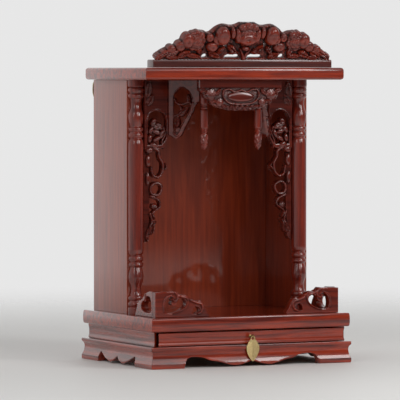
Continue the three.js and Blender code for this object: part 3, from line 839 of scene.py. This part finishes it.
@dataclass
class Base:
    """The plinth, the drawer level and the deck."""

    apron: float = 16
    waist: float = 14
    inset: float = 9.8
    front_arch: Points = ((140, 0), (135, 14), (128, 19), (118, 20.5), (99, 18.5), (87, 13.5), (68, 10), (45, 4),
                          (34, 3), (22, 4.5), (8, 8.5), (0, 10))
    side_arch: Points = ((82, 0), (80.5, 12), (75, 18), (68, 15), (50, 8.5), (30, 3), (14, 6.5), (0, 14))

    def build(self, shop: Workshop) -> None:
        """Makes and fits every board of the base."""
        low, high = bounds_mm("deck_board")
        shop.fit(moulded_slab("deck_slab", low, high, DECK_FACE), "board", Body.CABINET, "deck_board")
        plinth, waist = bounds_mm("plinth_front"), bounds_mm("waist_left")
        x, y = plinth[1][0] + 0.3, (low[1] + high[1]) / 2
        front, back = plinth[0][1], bounds_mm("plinth_back")[1][1]
        sides = (("front", 0, (0, front), x, self.front_arch), ("back", 180, (0, back), x, self.front_arch),
                 ("left", -90, (-x, y), back - y, self.side_arch), ("right", 90, (x, y), back - y, self.side_arch))
        for side, turn, middle, half, arch in sides:
            finish = "board" if side in ("front", "back") else "board_side"
            board = MouldedBoard(f"apron_{side}", half - 0.3, self.apron, plinth[0][2], plinth[1][2], PLINTH_FACE, arch)
            shop.fit(board.build(turn, middle), finish, Body.CABINET, f"plinth_{side}")
            if side == "front":
                continue
            inward = np.array((0, y)) - middle
            drawn = np.array(middle) + inward / np.abs(inward).max() * self.inset
            board = MouldedBoard(f"waist_board_{side}", half - self.inset - 0.3, self.waist, waist[0][2], waist[1][2],
                                 WAIST_FACE)
            shop.fit(board.build(turn, tuple(drawn)), finish, Body.CABINET, f"waist_{side}")
        shop.paint("drawer_runner", "raw")


@dataclass
class Drawer:
    """The drawer and its leaf pull."""

    wire: float = 0.8
    ring: float = 3.3

    def build(self, shop: Workshop) -> None:
        """Makes the front, the plain box behind it, the wire eye and the leaf."""
        low, high = bounds_mm("drawer_front")
        half, middle = (high[0] - low[0]) / 2, (high[0] + low[0]) / 2
        board = MouldedBoard("drawer_face", half, high[1] - low[1], low[2], high[2], WAIST_FACE)
        shop.fit(board.build(0, (middle, low[1])), "board", Body.DRAWER, "drawer_front")
        for node in ("drawer_side_left", "drawer_side_right", "drawer_back", "drawer_bottom"):
            made = rounded_box(f"{node}_board", *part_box(node), 0.7)
            shop.fit(made, "raw", Body.DRAWER, node)
        self.eye(shop)
        self.leaf(shop)

    def eye(self, shop: Workshop) -> None:
        """Makes the wire eye: a ring whose tube is swept round the leaf's axis, a shank and a small rose."""
        low, high = bounds_mm("pull_eye")
        y, z = low[1] + self.ring + self.wire, (low[2] + high[2]) / 2
        a, b = np.meshgrid(np.linspace(0, 2 * math.pi, 40, False), np.linspace(0, 2 * math.pi, 12, False), indexing="ij")
        reach = self.ring + self.wire * np.cos(b)
        torus = np.stack([self.wire * np.sin(b), y + reach * np.cos(a), z + reach * np.sin(a)], -1).reshape(-1, 3)
        quads = grid_faces(41, 12, wrap=True)[:, ::-1] % len(torus)
        shop.fit(new_piece("eye_ring", torus, [quads]), "fitting", Body.DRAWER)
        back = high[1]
        profile = np.array([(0.75, 0), (0.75, back - y - self.ring - 1.2), (1.3, back - y - self.ring - 1.0),
                            (2.9, back - y - self.ring - 0.5), (3, back - y - self.ring)])
        shank = lathe("eye_shank", profile, 0, 0, 24)
        co = np.zeros(len(shank.data.vertices) * 3, np.float32)
        shank.data.vertices.foreach_get("co", co)
        co = co.reshape(-1, 3)
        turned = np.stack([co[:, 0], co[:, 2] + (y + self.ring) * MM, -co[:, 1] + z * MM], 1)
        shank.data.vertices.foreach_set("co", turned.astype(np.float32).ravel())
        shop.fit(shank, "fitting", Body.DRAWER, "pull_eye")

    def leaf(self, shop: Workshop) -> None:
        """Makes the leaf: a thin plate with a raised midrib and veins, hung by its hole."""
        low, high = bounds_mm("leaf_pull")
        right = np.array(((0, 56), (2.4, 55.8), (4, 53), (4.2, 50.4), (7.4, 47.6), (6.8, 45.6), (10.6, 43.8), (9.8, 41.8),
                          (12.6, 38.5), (13.3, 35), (13, 30), (11.2, 23.5), (8.4, 18), (5.2, 13.2), (1.6, 9.2), (0, 8.3)))
        outline = np.vstack([right, right[::-1][1:-1] * (-1, 1)])
        turn = np.linspace(0, 2 * math.pi, 24, endpoint=False)
        hole = np.stack([2.5 * np.cos(turn), 51.1 + 2.5 * np.sin(turn)], 1)
        where = Placement((0, low[1] + 0.5, 0))

        def pressed(u: Array, v: Array) -> Array:
            """A sharp midrib, with a shallow vein every 4.5 mm that slants down from it."""
            rib = 0.42 * np.exp(-((u / 0.6) ** 2))
            vein = 0.16 * np.cos(2 * math.pi * (v + 0.9 * np.abs(u)) / 4.5)
            return np.where(v < 45, rib + vein * np.clip(np.abs(u) / 2, 0, 1), 0)

        made = CarvedBoard("leaf_plate", where, outline, 0.7, [hole], ground=pressed, cell=0.32, edge=0.3).build()
        shop.fit(made, "leaf", Body.PULL, "leaf_pull")


@dataclass
class Niche:
    """The open body: panels, top board and turned columns."""

    column_end: Points = ((0, 16), (11.2, 16), (11.9, 15), (13.3, 13.5), (15.3, 14.9), (18.6, 15.8), (21.8, 15),
                          (24.6, 13.4), (26.6, 15), (29.6, 15.7), (32.6, 14.8), (35.5, 12.4), (41, 10.9), (47, 10.6),
                          (53, 11.6), (61, 14.2), (69, 15.2), (78, 14.2), (84, 12.7), (87.2, 12), (89, 14), (92, 14.9),
                          (95, 13.9), (96.8, 12.5), (99.6, 14.2), (103.4, 15), (107, 13.8), (108.8, 12), (112, 14),
                          (118, 15.2), (126, 15.3))

    def build(self, shop: Workshop) -> None:
        """Makes and fits every piece of the body."""
        low, high = bounds_mm("top_board")
        shop.fit(moulded_slab("top_slab", low, high, TOP_FACE), "board", Body.CABINET, "top_board")
        for node in ("side_panel_left", "side_panel_right", "back_panel"):
            low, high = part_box(node)
            seat = Vector((0, 0, 0.3 * MM))
            made = rounded_box(f"{node}_board", Vector(low) - seat, Vector(high) + seat, 0.6)
            shop.fit(made, "panel", Body.CABINET, node)
        curve = smooth_run(self.column_end, 5)
        for side, s in (("left", -1), ("right", 1)):
            low, high = bounds_mm(f"column_{side}")
            x, y = s * 171, low[1] + 16
            down = np.stack([curve[:, 1], high[2] - curve[:, 0]], 1)
            up = np.stack([curve[::-1, 1], low[2] + curve[::-1, 0]], 1)
            made = lathe(f"turned_column_{side}", np.vstack([down, up]), x, y, 80)
            shop.fit(made, "turned", Body.CABINET, f"column_{side}")


@dataclass
class Canopy:
    """What hangs under the top board: header, pendants, brackets and wings."""

    header_half: float = 85
    slot: tuple[float, float] = (6.3, 45.3)

    def build(self, shop: Workshop) -> None:
        """Makes and fits the carving of the canopy."""
        self.header(shop)
        self.pendants(shop)
        for side in ("left", "right"):
            self.bracket(shop, side)
            self.wing(shop, side)

    def header(self, shop: Workshop) -> None:
        """Carves the header: flowers and leaves at both ends, and a smooth scroll-edged panel between."""
        low, high = bounds_mm("header")
        half = ((85, 515), (79, 505), (70, 497), (59, 485), (46, 478.5), (34, 474.8), (24, 473.6), (12, 472.4),
                (0, 472.8))
        run = smooth_run(half, 4)
        outline = np.vstack([[(85, high[2])], run, run[::-1][1:] * (-1, 1), [(-85, high[2])]])
        motifs: list[Motif] = []
        for s in (-1, 1):
            motifs += [Peony(s * 62, 503, 10.5, 4.2, 0.4, 0.3 * s), Peony(s * 44, 488, 7.5, 3.6, 0.4),
                       Leaf(s * 77, 510, 9, 4, s * 20, 3), Leaf(s * 47, 507, 9, 4, -s * 50, 3),
                       Leaf(s * 72, 499, 7, 3.4, s * 55, 2.8), Leaf(s * 54, 490, 7, 3.4, s * 20, 3),
                       Leaf(s * 60, 489.5, 6, 3, s * 70, 2.6), Leaf(s * 33, 480, 8, 3.4, s * 12, 3),
                       Vine(((s * 34, 511), (s * 24, 512), (s * 12, 507), (0, 511)), 1.5, 2.2, 0.6),
                       Vine(((s * 36, 509), (s * 37, 500), (s * 31, 491), (s * 20, 485.5), (0, 484)), 1.6, 2.4, 0.6)]
        motifs += [Leaf(x, 477.5 + 1.2 * (i % 2), 5.4, 2.8, 90 + 24 * (-1) ** i, 2.6) for i, x in
                   enumerate(np.linspace(-26, 26, 11))]
        motifs += [Petal(0, 498, 27, 9, 0, 2.2)]

        def ground(u: Array, v: Array) -> Array:
            """A plain band over v = 515, then a field sunk by 1.2 mm with close punch marks 2.6 mm apart."""
            punch = 0.35 * np.cos(2.4 * u + np.sin(v)) * np.cos(2.4 * v)
            return np.where(v > 515, 0.6, -1.2 + punch)

        where = Placement((0, low[1] + 4, 0))
        made = CarvedBoard("header_carving", where, outline, high[1] - low[1] - 4, motifs=motifs, ground=ground,
                           cell=0.7, edge=0.9, limit=(-85, 85, 460, high[2])).build()
        shop.fit(made, "carving", Body.CABINET, "header")

    def pendants(self, shop: Workshop) -> None:
        """Turns the pendants: rings, a smooth barrel, a double ring and a spirally cut bulb."""
        rings = ((0, 7), (42, 7), (44.5, 5.4), (47, 7.4), (49.3, 5.5), (51.6, 7.4), (54, 5.6), (57, 7.2), (60, 7.4),
                 (88, 7.3), (90, 5.5), (92, 7.3), (94, 5.5), (96.4, 7.3), (98.6, 5.2), (102, 7), (110, 7.3), (117, 6.6),
                 (119, 5.2), (121.5, 6), (126, 4.8), (130.1, 2))
        for side, s in (("left", -1), ("right", 1)):
            low, high = bounds_mm(f"pendant_{side}")
            curve = smooth_run(rings, 6)
            profile = np.stack([curve[:, 1], high[2] - curve[:, 0]], 1)
            made = lathe(f"turned_pendant_{side}", profile, s * 56, (low[1] + high[1]) / 2, 60, 0.09,
                         (low[2] + 3, low[2] + 28))
            shop.fit(made, "turned", Body.CABINET, f"pendant_{side}")

    def bracket(self, shop: Workshop, side: str) -> None:
        """Carves a bracket: a solid head with an arched slot of beans in it, and a vine of open loops below."""
        low, high = bounds_mm("bracket_left")
        edge = smooth_run(((48.1, 421), (44, 414), (38, 404), (29, 399), (18, 398), (12, 392), (12, 345), (12, 300),
                           (10, 262), (5, 228)), 4)
        outline = np.vstack([[(0, high[2]), (48.1, high[2])], edge, [(0, 226)]])
        arc = np.linspace(math.pi, 0, 20)
        slot = np.vstack([[(6.3, 408)], np.stack([25.8 + 19.5 * np.cos(arc), 452.5 + 19.5 * np.sin(arc)], 1),
                          [(45.3, 422), (37, 408)]])
        rim = tuple((25.8 + 20.6 * math.cos(a), 452.5 + 20.6 * math.sin(a)) for a in np.linspace(math.pi, 0, 9))
        motifs: list[Motif] = [
            Vine(((5.6, 430),) + rim + ((46.2, 428),), 1.1, 1.6, 0.2),
            Petal(20, 450, 9, 6, 65, 7, -6, 0.2), Petal(31, 443, 10, 6, -40, 8, -6, 0.2), Petal(14, 436, 9, 5, 55, 8, -6),
            Petal(25, 432, 10, 5.5, -20, 8, -6), Petal(36, 428, 10, 5, 70, 8, -6), Peony(25, 441, 8, 9, -5),
            Petal(12, 420, 9, 5, 80, 7, -6), Petal(26, 419, 10, 5, 30, 9, -6), Petal(20, 407, 9, 6, -30, 8, -5),
            Vine(((40, 440), (43, 428), (37, 414), (40, 402)), 2.6, 6, -6, 0.8),
            Vine(((20, 402), (30, 396), (32, 384), (38, 374), (37, 358), (28, 348), (18, 352), (14, 366)), 3.6, 6, -4, 0.7),
            Vine(((42, 362), (46, 368), (42, 374)), 2.2, 5, -3, 0.6),
            Vine(((24, 337), (34, 333), (36, 325), (31, 316), (24, 314), (16, 317), (13, 325), (16, 333)), 2.9, 5.5, -4, 1, True),
            Vine(((14, 312), (22, 309), (31, 303), (32, 293), (24, 287), (17, 280), (21, 270)), 2.8, 5.5, -4, 0.6),
            Peony(21, 293, 6.5, 6, -3), Vine(((12, 280), (16, 266), (11, 254), (14, 244)), 2.4, 5, -4, 0.6),
            Leaf(15, 250, 11, 6, 70, 6, -3), Leaf(19, 261, 8, 4, 40, 5, -3), Petal(10, 398, 8, 6, 20, 6, -2),
            Leaf(8, 512, 16, 8, 80, 3.4, 0), Leaf(12, 492, 12, 7, 60, 3.2, 0), Petal(8, 378, 5, 11, 0, 4, -2),
            Petal(7, 345, 4, 12, 0, 3.5, -2), Leaf(7, 240, 13, 4, 85, 4, -3),
        ]

        def ground(u: Array, v: Array) -> Array:
            """The head is flat; the strip beside the column lies 3 mm lower, below v = 400."""
            return np.where(v > 400, 0, -3.0)

        where = Placement((-155 + 0.3, low[1] + 2.5, 0), mirror=side == "right")
        made = CarvedBoard(f"bean_bracket_{side}", where, outline, 12, [slot], motifs, ground, 0.85, 1.1,
                           (0, 48.1, 226, high[2])).build()
        shop.fit(made, "carving", Body.CABINET, f"bracket_{side}")

    def wing(self, shop: Workshop, side: str) -> None:
        """Carves a wing: a splayed board whose arched slot holds curling tendrils, scrolled along its foot."""
        low, high = bounds_mm("wing_left")
        run, rise = np.array((-106.6, -6.5)), np.array((-56, -62.5))
        way = (rise - run) / np.linalg.norm(rise - run)
        length = float(np.linalg.norm(rise - run)) - 7.8
        foot = smooth_run(((length, 490), (62, 487), (53, 472), (49, 462), (35, 436), (30, 426), (21, 420), (12, 423),
                           (0, 427)), 5)
        outline = np.vstack([[(0, high[2]), (length, high[2])], foot])
        arc = np.linspace(math.pi, 0, 20)
        slot = np.vstack([[(14, 434)], np.stack([33.5 + 19.5 * np.cos(arc), 495.5 + 19.5 * np.sin(arc)], 1),
                          [(53, 480), (46, 467), (34, 447), (25, 434), (19, 431)]])
        motifs: list[Motif] = [
            Vine(((14, 431), (24, 426), (33, 440), (43, 458), (51, 470), (55, 486)), 2.6, 4.4, -2),
            Vine(((14, 496), (22, 486), (34, 484), (46, 488), (54, 480)), 2.4, 4, -4, 0.8),
            Leaf(34, 470, 15, 6, 40, 5, -3), Leaf(22, 449, 11, 5.5, 75, 5, -3), Petal(24, 436, 7, 5, 30, 5, -3),
            Vine(((16, 462), (25, 466), (30, 476), (25, 484)), 2.1, 4, -4, 0.7), Leaf(45, 494, 10, 4, 100, 4, -4),
            Vine(((13.5, 440), (13.5, 494), (20, 508), (33, 515.5), (47, 508), (54, 494)), 1, 1.4, 0),
        ]
        face = run + way * 0.5 + np.array((way[1], -way[0])) * 5
        where = Placement((face[0], face[1], 0), (way[0], way[1], 0), mirror=side == "right")
        made = CarvedBoard(f"tendril_wing_{side}", where, outline, 10, [slot], motifs, None, 0.8, 1.0,
                           (0, length, 415, high[2]), (5.98, 1.107)).build()
        shop.fit(made, "carving", Body.CABINET, f"wing_{side}")


@dataclass
class Rails:
    """The scrolled corner rails on the deck."""

    thick: float = 14

    def build(self, shop: Workshop) -> None:
        """Makes the front and the side rail of each corner."""
        low, high = bounds_mm("rail_front_left")
        base = low[2]
        top = smooth_run(((37, 140.6), (41, 138.6), (44, 134.5), (50, 133.3), (57, 134.5), (65, 131.8), (71, 127.5),
                          (77, 122.8), (84, 121.8), (90, 123), (95, 120.4), (99, 114), (104, 104), (111, base)), 4)
        front = np.vstack([[(0, base), (0, 140)], [(30, 140.6)], top])
        cloud = smooth_run(((22, 102.5), (19.5, 113), (22, 124), (29, 130.5), (36, 129.5), (37.5, 124.5), (33, 121),
                            (34, 115.5), (40, 114.5), (44, 119), (47, 126), (54, 127.5), (61, 124), (62.5, 116),
                            (56, 108), (45, 103), (32, 100.5)), 4, True)
        drop = smooth_run(((77, 99), (76, 106), (80, 111.5), (87, 111), (91, 105.5), (88, 99.5)), 4, True)
        scrolls: list[Motif] = [
            Vine(((40, 139), (45, 133), (44, 126), (38, 123), (35, 127)), 2.6, 3.4, -0.6, 0.7),
            Vine(((46, 134), (54, 130.5), (62, 129), (66, 122), (62, 112), (50, 104), (36, 100)), 2.5, 3.4, -0.6, 0.5),
            Vine(((72, 124), (84, 119), (93, 117), (96, 109), (92, 101), (86, 99)), 2.6, 3.4, -0.6, 0.8),
            Vine(((18, 104), (16.5, 118), (21, 129), (32, 134)), 1.4, 1.8, 0),
        ]
        edge = smooth_run(((27, 141), (38, 138), (46, 134), (56, 127), (63, 122.5), (71, 122), (78, 115), (84, 104),
                           (90, base)), 4)
        side_outline = np.vstack([[(0, base), (0, 141)], edge])
        kidney = smooth_run(((20, 103), (18.5, 116), (23, 128), (33, 131.5), (42, 129), (42, 123), (47, 120.5), (55, 121),
                             (62, 115), (61, 107), (50, 102), (34, 100.8)), 4, True)
        curl: list[Motif] = [Vine(((44, 134), (44, 127), (50, 123), (58, 124)), 2.2, 2.6, -0.6, 0.7)]
        for side in ("left", "right"):
            mirror = side == "right"
            where = Placement((-190 + 0.3, -134.5 + 0.3, 0), mirror=mirror)
            made = CarvedBoard(f"corner_rail_front_{side}", where, front, self.thick, [cloud, drop], scrolls, None, 0.8,
                               1.2, (0, 111, base, 141.3)).build()
            shop.fit(made, "crest", Body.CABINET, f"rail_front_{side}")
            # The side rail runs back from behind the front one; its face looks to the side.
            where = Placement((-190 + 0.3, -134.2 + self.thick + 0.3, 0), (0, -1, 0), mirror=mirror)
            back = self.thick + 0.3
            flip = side_outline * (-1, 1) + (back, 0)
            holes = [kidney * (-1, 1) + (back, 0)]
            turned = [Vine(tuple((back - a, b) for a, b in m.points), m.half, m.rise, m.base, m.tip) for m in curl]
            made = CarvedBoard(f"corner_rail_side_{side}", where, flip, self.thick, holes, turned, None, 0.8, 1.2,
                               (-90 + back, 0, base, 141.3)).build()
            shop.fit(made, "crest", Body.CABINET, f"rail_side_{side}")


@dataclass
class Crest:
    """The peony crest and the strip that it stands on."""

    lean: float = 21

    def build(self, shop: Workshop) -> None:
        """Carves the crest and shapes its strip."""
        low, high = bounds_mm("crest_strip")
        face = ((2, 1.0), (0.6, 0.95), (0.1, 0.84), (0, 0.7), (0, 0.4), (0, 0.04), (0.4, 0))
        made = moulded_slab("strip_moulding", low, high + (0, 0, 1.2), face)
        shop.fit(made, "strip", Body.CABINET, "crest_strip")
        s, c = math.sin(math.radians(self.lean)), math.cos(math.radians(self.lean))
        foot = high[2]

        def up(v: float) -> float:
            """Height on the leaning board for a height over the floor."""
            return (v - foot) / c

        half = ((180, foot + 0.2), (180.5, 572), (173, 578.5), (158, 587), (144, 591.5), (131, 603), (118, 613), (108, 618),
                (88, 617.5), (77, 614.5), (64, 624.5), (50, 629.5), (30, 627.5), (12, 634), (0, 635.5))
        run = smooth_run([(a, up(b)) for a, b in half], 4)
        outline = np.vstack([run, run[::-1][1:] * (-1, 1)])

        def window(points: Points) -> list[Array]:
            """One opening and its twin on the other side."""
            made = smooth_run([(a, up(b)) for a, b in points], 4, True)
            return [made, made * (-1, 1)]

        holes = window(((7.8, 568.8), (8.2, 573), (14, 576), (23, 577), (32, 576), (38.4, 573), (38.8, 568.8), (23, 568.4)))
        holes += window(((73.4, 568.9), (74.4, 575), (79.4, 577), (84.4, 575), (85.6, 568.9)))
        holes += window(((36, 590), (40, 598), (44.6, 591), (40, 588.6))) + window(((84.8, 583), (84, 588), (87, 590), (88, 585)))
        motifs: list[Motif] = [
            Peony(0, up(613), 24, 11, 0, 0.35), Petal(0, up(605.5), 21, 12.5, 0, 13.5, -1, 0.3),
            Petal(0, up(588), 8, 5, 0, 8, -1), Petal(0, up(629.5), 8, 6, 0, 10, -1, 0.3, 5),
        ]
        for t in (-1, 1):
            motifs += [
                Petal(t * 12.5, up(626.5), 8.5, 6.5, -t * 25, 9.5, -1, 0.3, 5), Petal(t * 20, up(611), 6.5, 15, -t * 8, 10, -1, 0.2),
                Petal(t * 51, up(611), 14.8, 18.5, -t * 8, 13, -1, 0.12, 0, 4), Petal(t * 69.5, up(591), 12, 10, t * 8, 9.5, -1, 0.2),
                Petal(t * 31, up(616), 5.5, 11.5, -t * 6, 9, -1, 0.2), Petal(t * 60, up(603), 11, 9, t * 30, 9, -1, 0.3),
                Petal(t * 76, up(607), 8, 8.5, -t * 30, 6, -1, 0.3),
                Peony(t * 103, up(601), 20, 8, -1, 0.8 * t), Petal(t * 120, up(601), 12, 15, -t * 6, 8.5, -1, 0.25),
                Petal(t * 95, up(611), 8, 7.5, t * 10, 7, -1, 0.3),
                Petal(t * 133, up(591), 10, 10, 0, 5.5, -1, 0.2), Petal(t * 150, up(585), 9, 8, t * 20, 4.5, -1, 0.2),
                Leaf(t * 148, up(577), 14, 7, -t * 30, 5, -1, 3), Leaf(t * 163, up(578), 13, 6, -t * 32, 4.5, -1, 3),
                Leaf(t * 174, up(571.5), 9, 6, -t * 60, 5, -1, 2),
                Leaf(t * 124, up(577), 14, 6.5, -t * 24, 5.5, -1), Leaf(t * 142, up(570.5), 13, 4.5, -t * 8, 4.5, -1),
                Leaf(t * 62, up(576), 14, 6, t * 22, 5.5, -1), Leaf(t * 50, up(584), 11, 5, -t * 50, 5, -1),
                Leaf(t * 26, up(586), 14, 6, t * 38, 6, -1), Leaf(t * 22, up(580), 11, 3.4, -t * 8, 4.5, -1),
                Leaf(t * 104, up(574), 15, 5, t * 4, 4.5, -1), Leaf(t * 94, up(583), 9, 5, t * 60, 5, -1),
                Vine(((0, up(566.4)), (t * 3, up(575)), (t * 10, up(586))), 3, 4, -1, 0.7),
            ]

        def ground(u: Array, v: Array) -> Array:
            """A field sunk by 2 mm, rippled like crowded leaf tips."""
            return -2 + 0.6 * np.cos(0.9 * u + 1.5 * np.sin(0.5 * v)) * np.cos(0.8 * v + 0.4)

        low, high = bounds_mm("crest")
        strip_front = bounds_mm("crest_strip")[0][1]
        where = Placement((0, strip_front + 2, foot), (1, 0, 0), (0, -s, c))
        made = CarvedBoard("peony_crest", where, outline, 13, holes, motifs, ground, 1.0, 1.4, (-184.5, 184.5, 0, 90),
                           room=(low + (0, 0, 0.2), high - (0, 0, 0.2))).build()
        shop.fit(made, "crest", Body.CABINET, "crest")


# ---- Stage ----
@dataclass(frozen=True)
class Lamp:
    """An upright soft light, placed by its bearing from the front of the cabinet, that looks at its middle."""

    name: str
    bearing: float
    reach: float
    height: float
    width: float
    tall: float
    power: float

    def hang(self) -> None:
        """Makes the light. Its foot is at (reach * sin(bearing), -reach * cos(bearing))."""
        data = bpy.data.lights.new(self.name, "AREA")
        data.shape = "RECTANGLE"
        data.energy, data.size, data.size_y = self.power, self.width, self.tall
        made = bpy.data.objects.new(self.name, data)
        turn = math.radians(self.bearing)
        made.location = (self.reach * math.sin(turn), -self.reach * math.cos(turn), self.height)
        made.rotation_euler = (Vector((0, 0, 0.3)) - made.location).to_track_quat("-Z", "Y").to_euler()
        bpy.context.scene.collection.objects.link(made)


@dataclass
class Stage:
    """Floor, lights and camera."""

    yaw: float = -26.131
    pitch: float = 1.955
    distance: float = 7.2066
    lens: float = 344.5
    wall: float = 0.8
    floor_radius: float = 2.6
    floor_solid: float = 0.55
    bright_side: tuple[float, float, float] = (-0.438, 0.899, 0)
    dim: float = 0.05
    bright: float = 0.95
    lamps: tuple[Lamp, ...] = (
        Lamp("right_window", 35, 1.5, 1.15, 0.4, 0.9, 9),
        Lamp("front_strip", 2, 2.2, 1.1, 0.16, 0.9, 3),
        Lamp("left_strip", -46, 2.2, 1.1, 0.16, 0.9, 3),
        Lamp("high_front", 14, 3.0, 1.7, 1.6, 1.6, 14),
    )

    def build(self) -> None:
        """Sets the room, the floor, the lamps and the camera."""
        self.room()
        self.floor()
        for lamp in self.lamps:
            lamp.hang()
        self.camera()

    def room(self) -> None:
        """Sets the room: pale to look at, and for light it climbs evenly from dim in front on the right to full
        at the back on the left, where the cabinet's left faces mirror it."""
        world = bpy.data.worlds.new("studio")
        bpy.context.scene.world = world
        bpy.context.scene.view_settings.view_transform = "Standard"
        world.use_nodes = True
        nodes, link = world.node_tree.nodes, world.node_tree.links.new
        where, side, climb, seen, pick = (nodes.new(f"ShaderNode{n}") for n in
                                          ("TexCoord", "VectorMath", "MapRange", "LightPath", "Mix"))
        side.operation = "DOT_PRODUCT"
        side.inputs[1].default_value = self.bright_side
        climb.inputs["From Min"].default_value = -1
        climb.inputs["To Min"].default_value = self.dim
        climb.inputs["To Max"].default_value = self.bright
        link(where.outputs["Generated"], side.inputs[0])
        link(side.outputs["Value"], climb.inputs["Value"])
        link(seen.outputs["Is Camera Ray"], pick.inputs[0])
        link(climb.outputs["Result"], pick.inputs["A"])
        pick.inputs["B"].default_value = self.wall
        link(pick.outputs["Result"], nodes["Background"].inputs["Strength"])
        nodes["Background"].inputs["Color"].default_value = (1, 1, 1, 1)

    def floor(self) -> None:
        """Lays a pale round floor that fades out evenly from floor_solid to its rim."""
        turn = np.linspace(0, 2 * math.pi, 96, endpoint=False)
        rim = self.floor_radius / MM
        ring = np.stack([rim * np.cos(turn), rim * np.sin(turn), np.full(96, -0.2)], 1)
        floor = new_piece("floor", ring, [np.arange(96)[None]])
        pale = bpy.data.materials.new("pale_floor")
        pale.use_nodes = True
        nodes, link = pale.node_tree.nodes, pale.node_tree.links.new
        where, far, fade = (nodes.new(f"ShaderNode{n}") for n in ("TexCoord", "VectorMath", "MapRange"))
        far.operation = "LENGTH"
        fade.interpolation_type = "SMOOTHSTEP"
        fade.inputs["From Min"].default_value = self.floor_solid
        fade.inputs["From Max"].default_value = self.floor_radius
        fade.inputs["To Min"].default_value = 1
        fade.inputs["To Max"].default_value = 0
        shader = nodes["Principled BSDF"]
        link(where.outputs["Object"], far.inputs[0])
        link(far.outputs["Value"], fade.inputs["Value"])
        link(fade.outputs["Result"], shader.inputs["Alpha"])
        shader.inputs["Base Color"].default_value = (0.8, 0.79, 0.77, 1)
        shader.inputs["Roughness"].default_value = 0.6
        floor.data.materials.append(pale)

    def camera(self) -> None:
        """Places the camera in front on the left, a little above the cabinet's middle."""
        aim = Vector((0, -0.0125, 0.3))
        yaw, pitch = math.radians(self.yaw), math.radians(self.pitch)
        back = Vector((math.sin(yaw) * math.cos(pitch), -math.cos(yaw) * math.cos(pitch), math.sin(pitch)))
        data = bpy.data.cameras.new("camera")
        data.lens = self.lens
        data.shift_x, data.shift_y = -0.0477, 0.0044
        data.clip_end = 60
        camera = bpy.data.objects.new("camera", data)
        camera.location = aim + back * self.distance
        camera.rotation_euler = (-back).to_track_quat("-Z", "Y").to_euler()
        bpy.context.scene.collection.objects.link(camera)
        bpy.context.scene.camera = camera


def main() -> None:
    """Builds the cabinet in order."""
    logging.basicConfig(level=logging.INFO, format="%(name)s %(message)s")
    Stage().build()
    shop = Workshop()
    for part in (Base(), Drawer(), Niche(), Canopy(), Rails(), Crest()):
        part.build(shop)
    for node in ("hanger_left", "hanger_right"):
        shop.paint(node, "fitting")


if __name__ == "__main__":
    main()
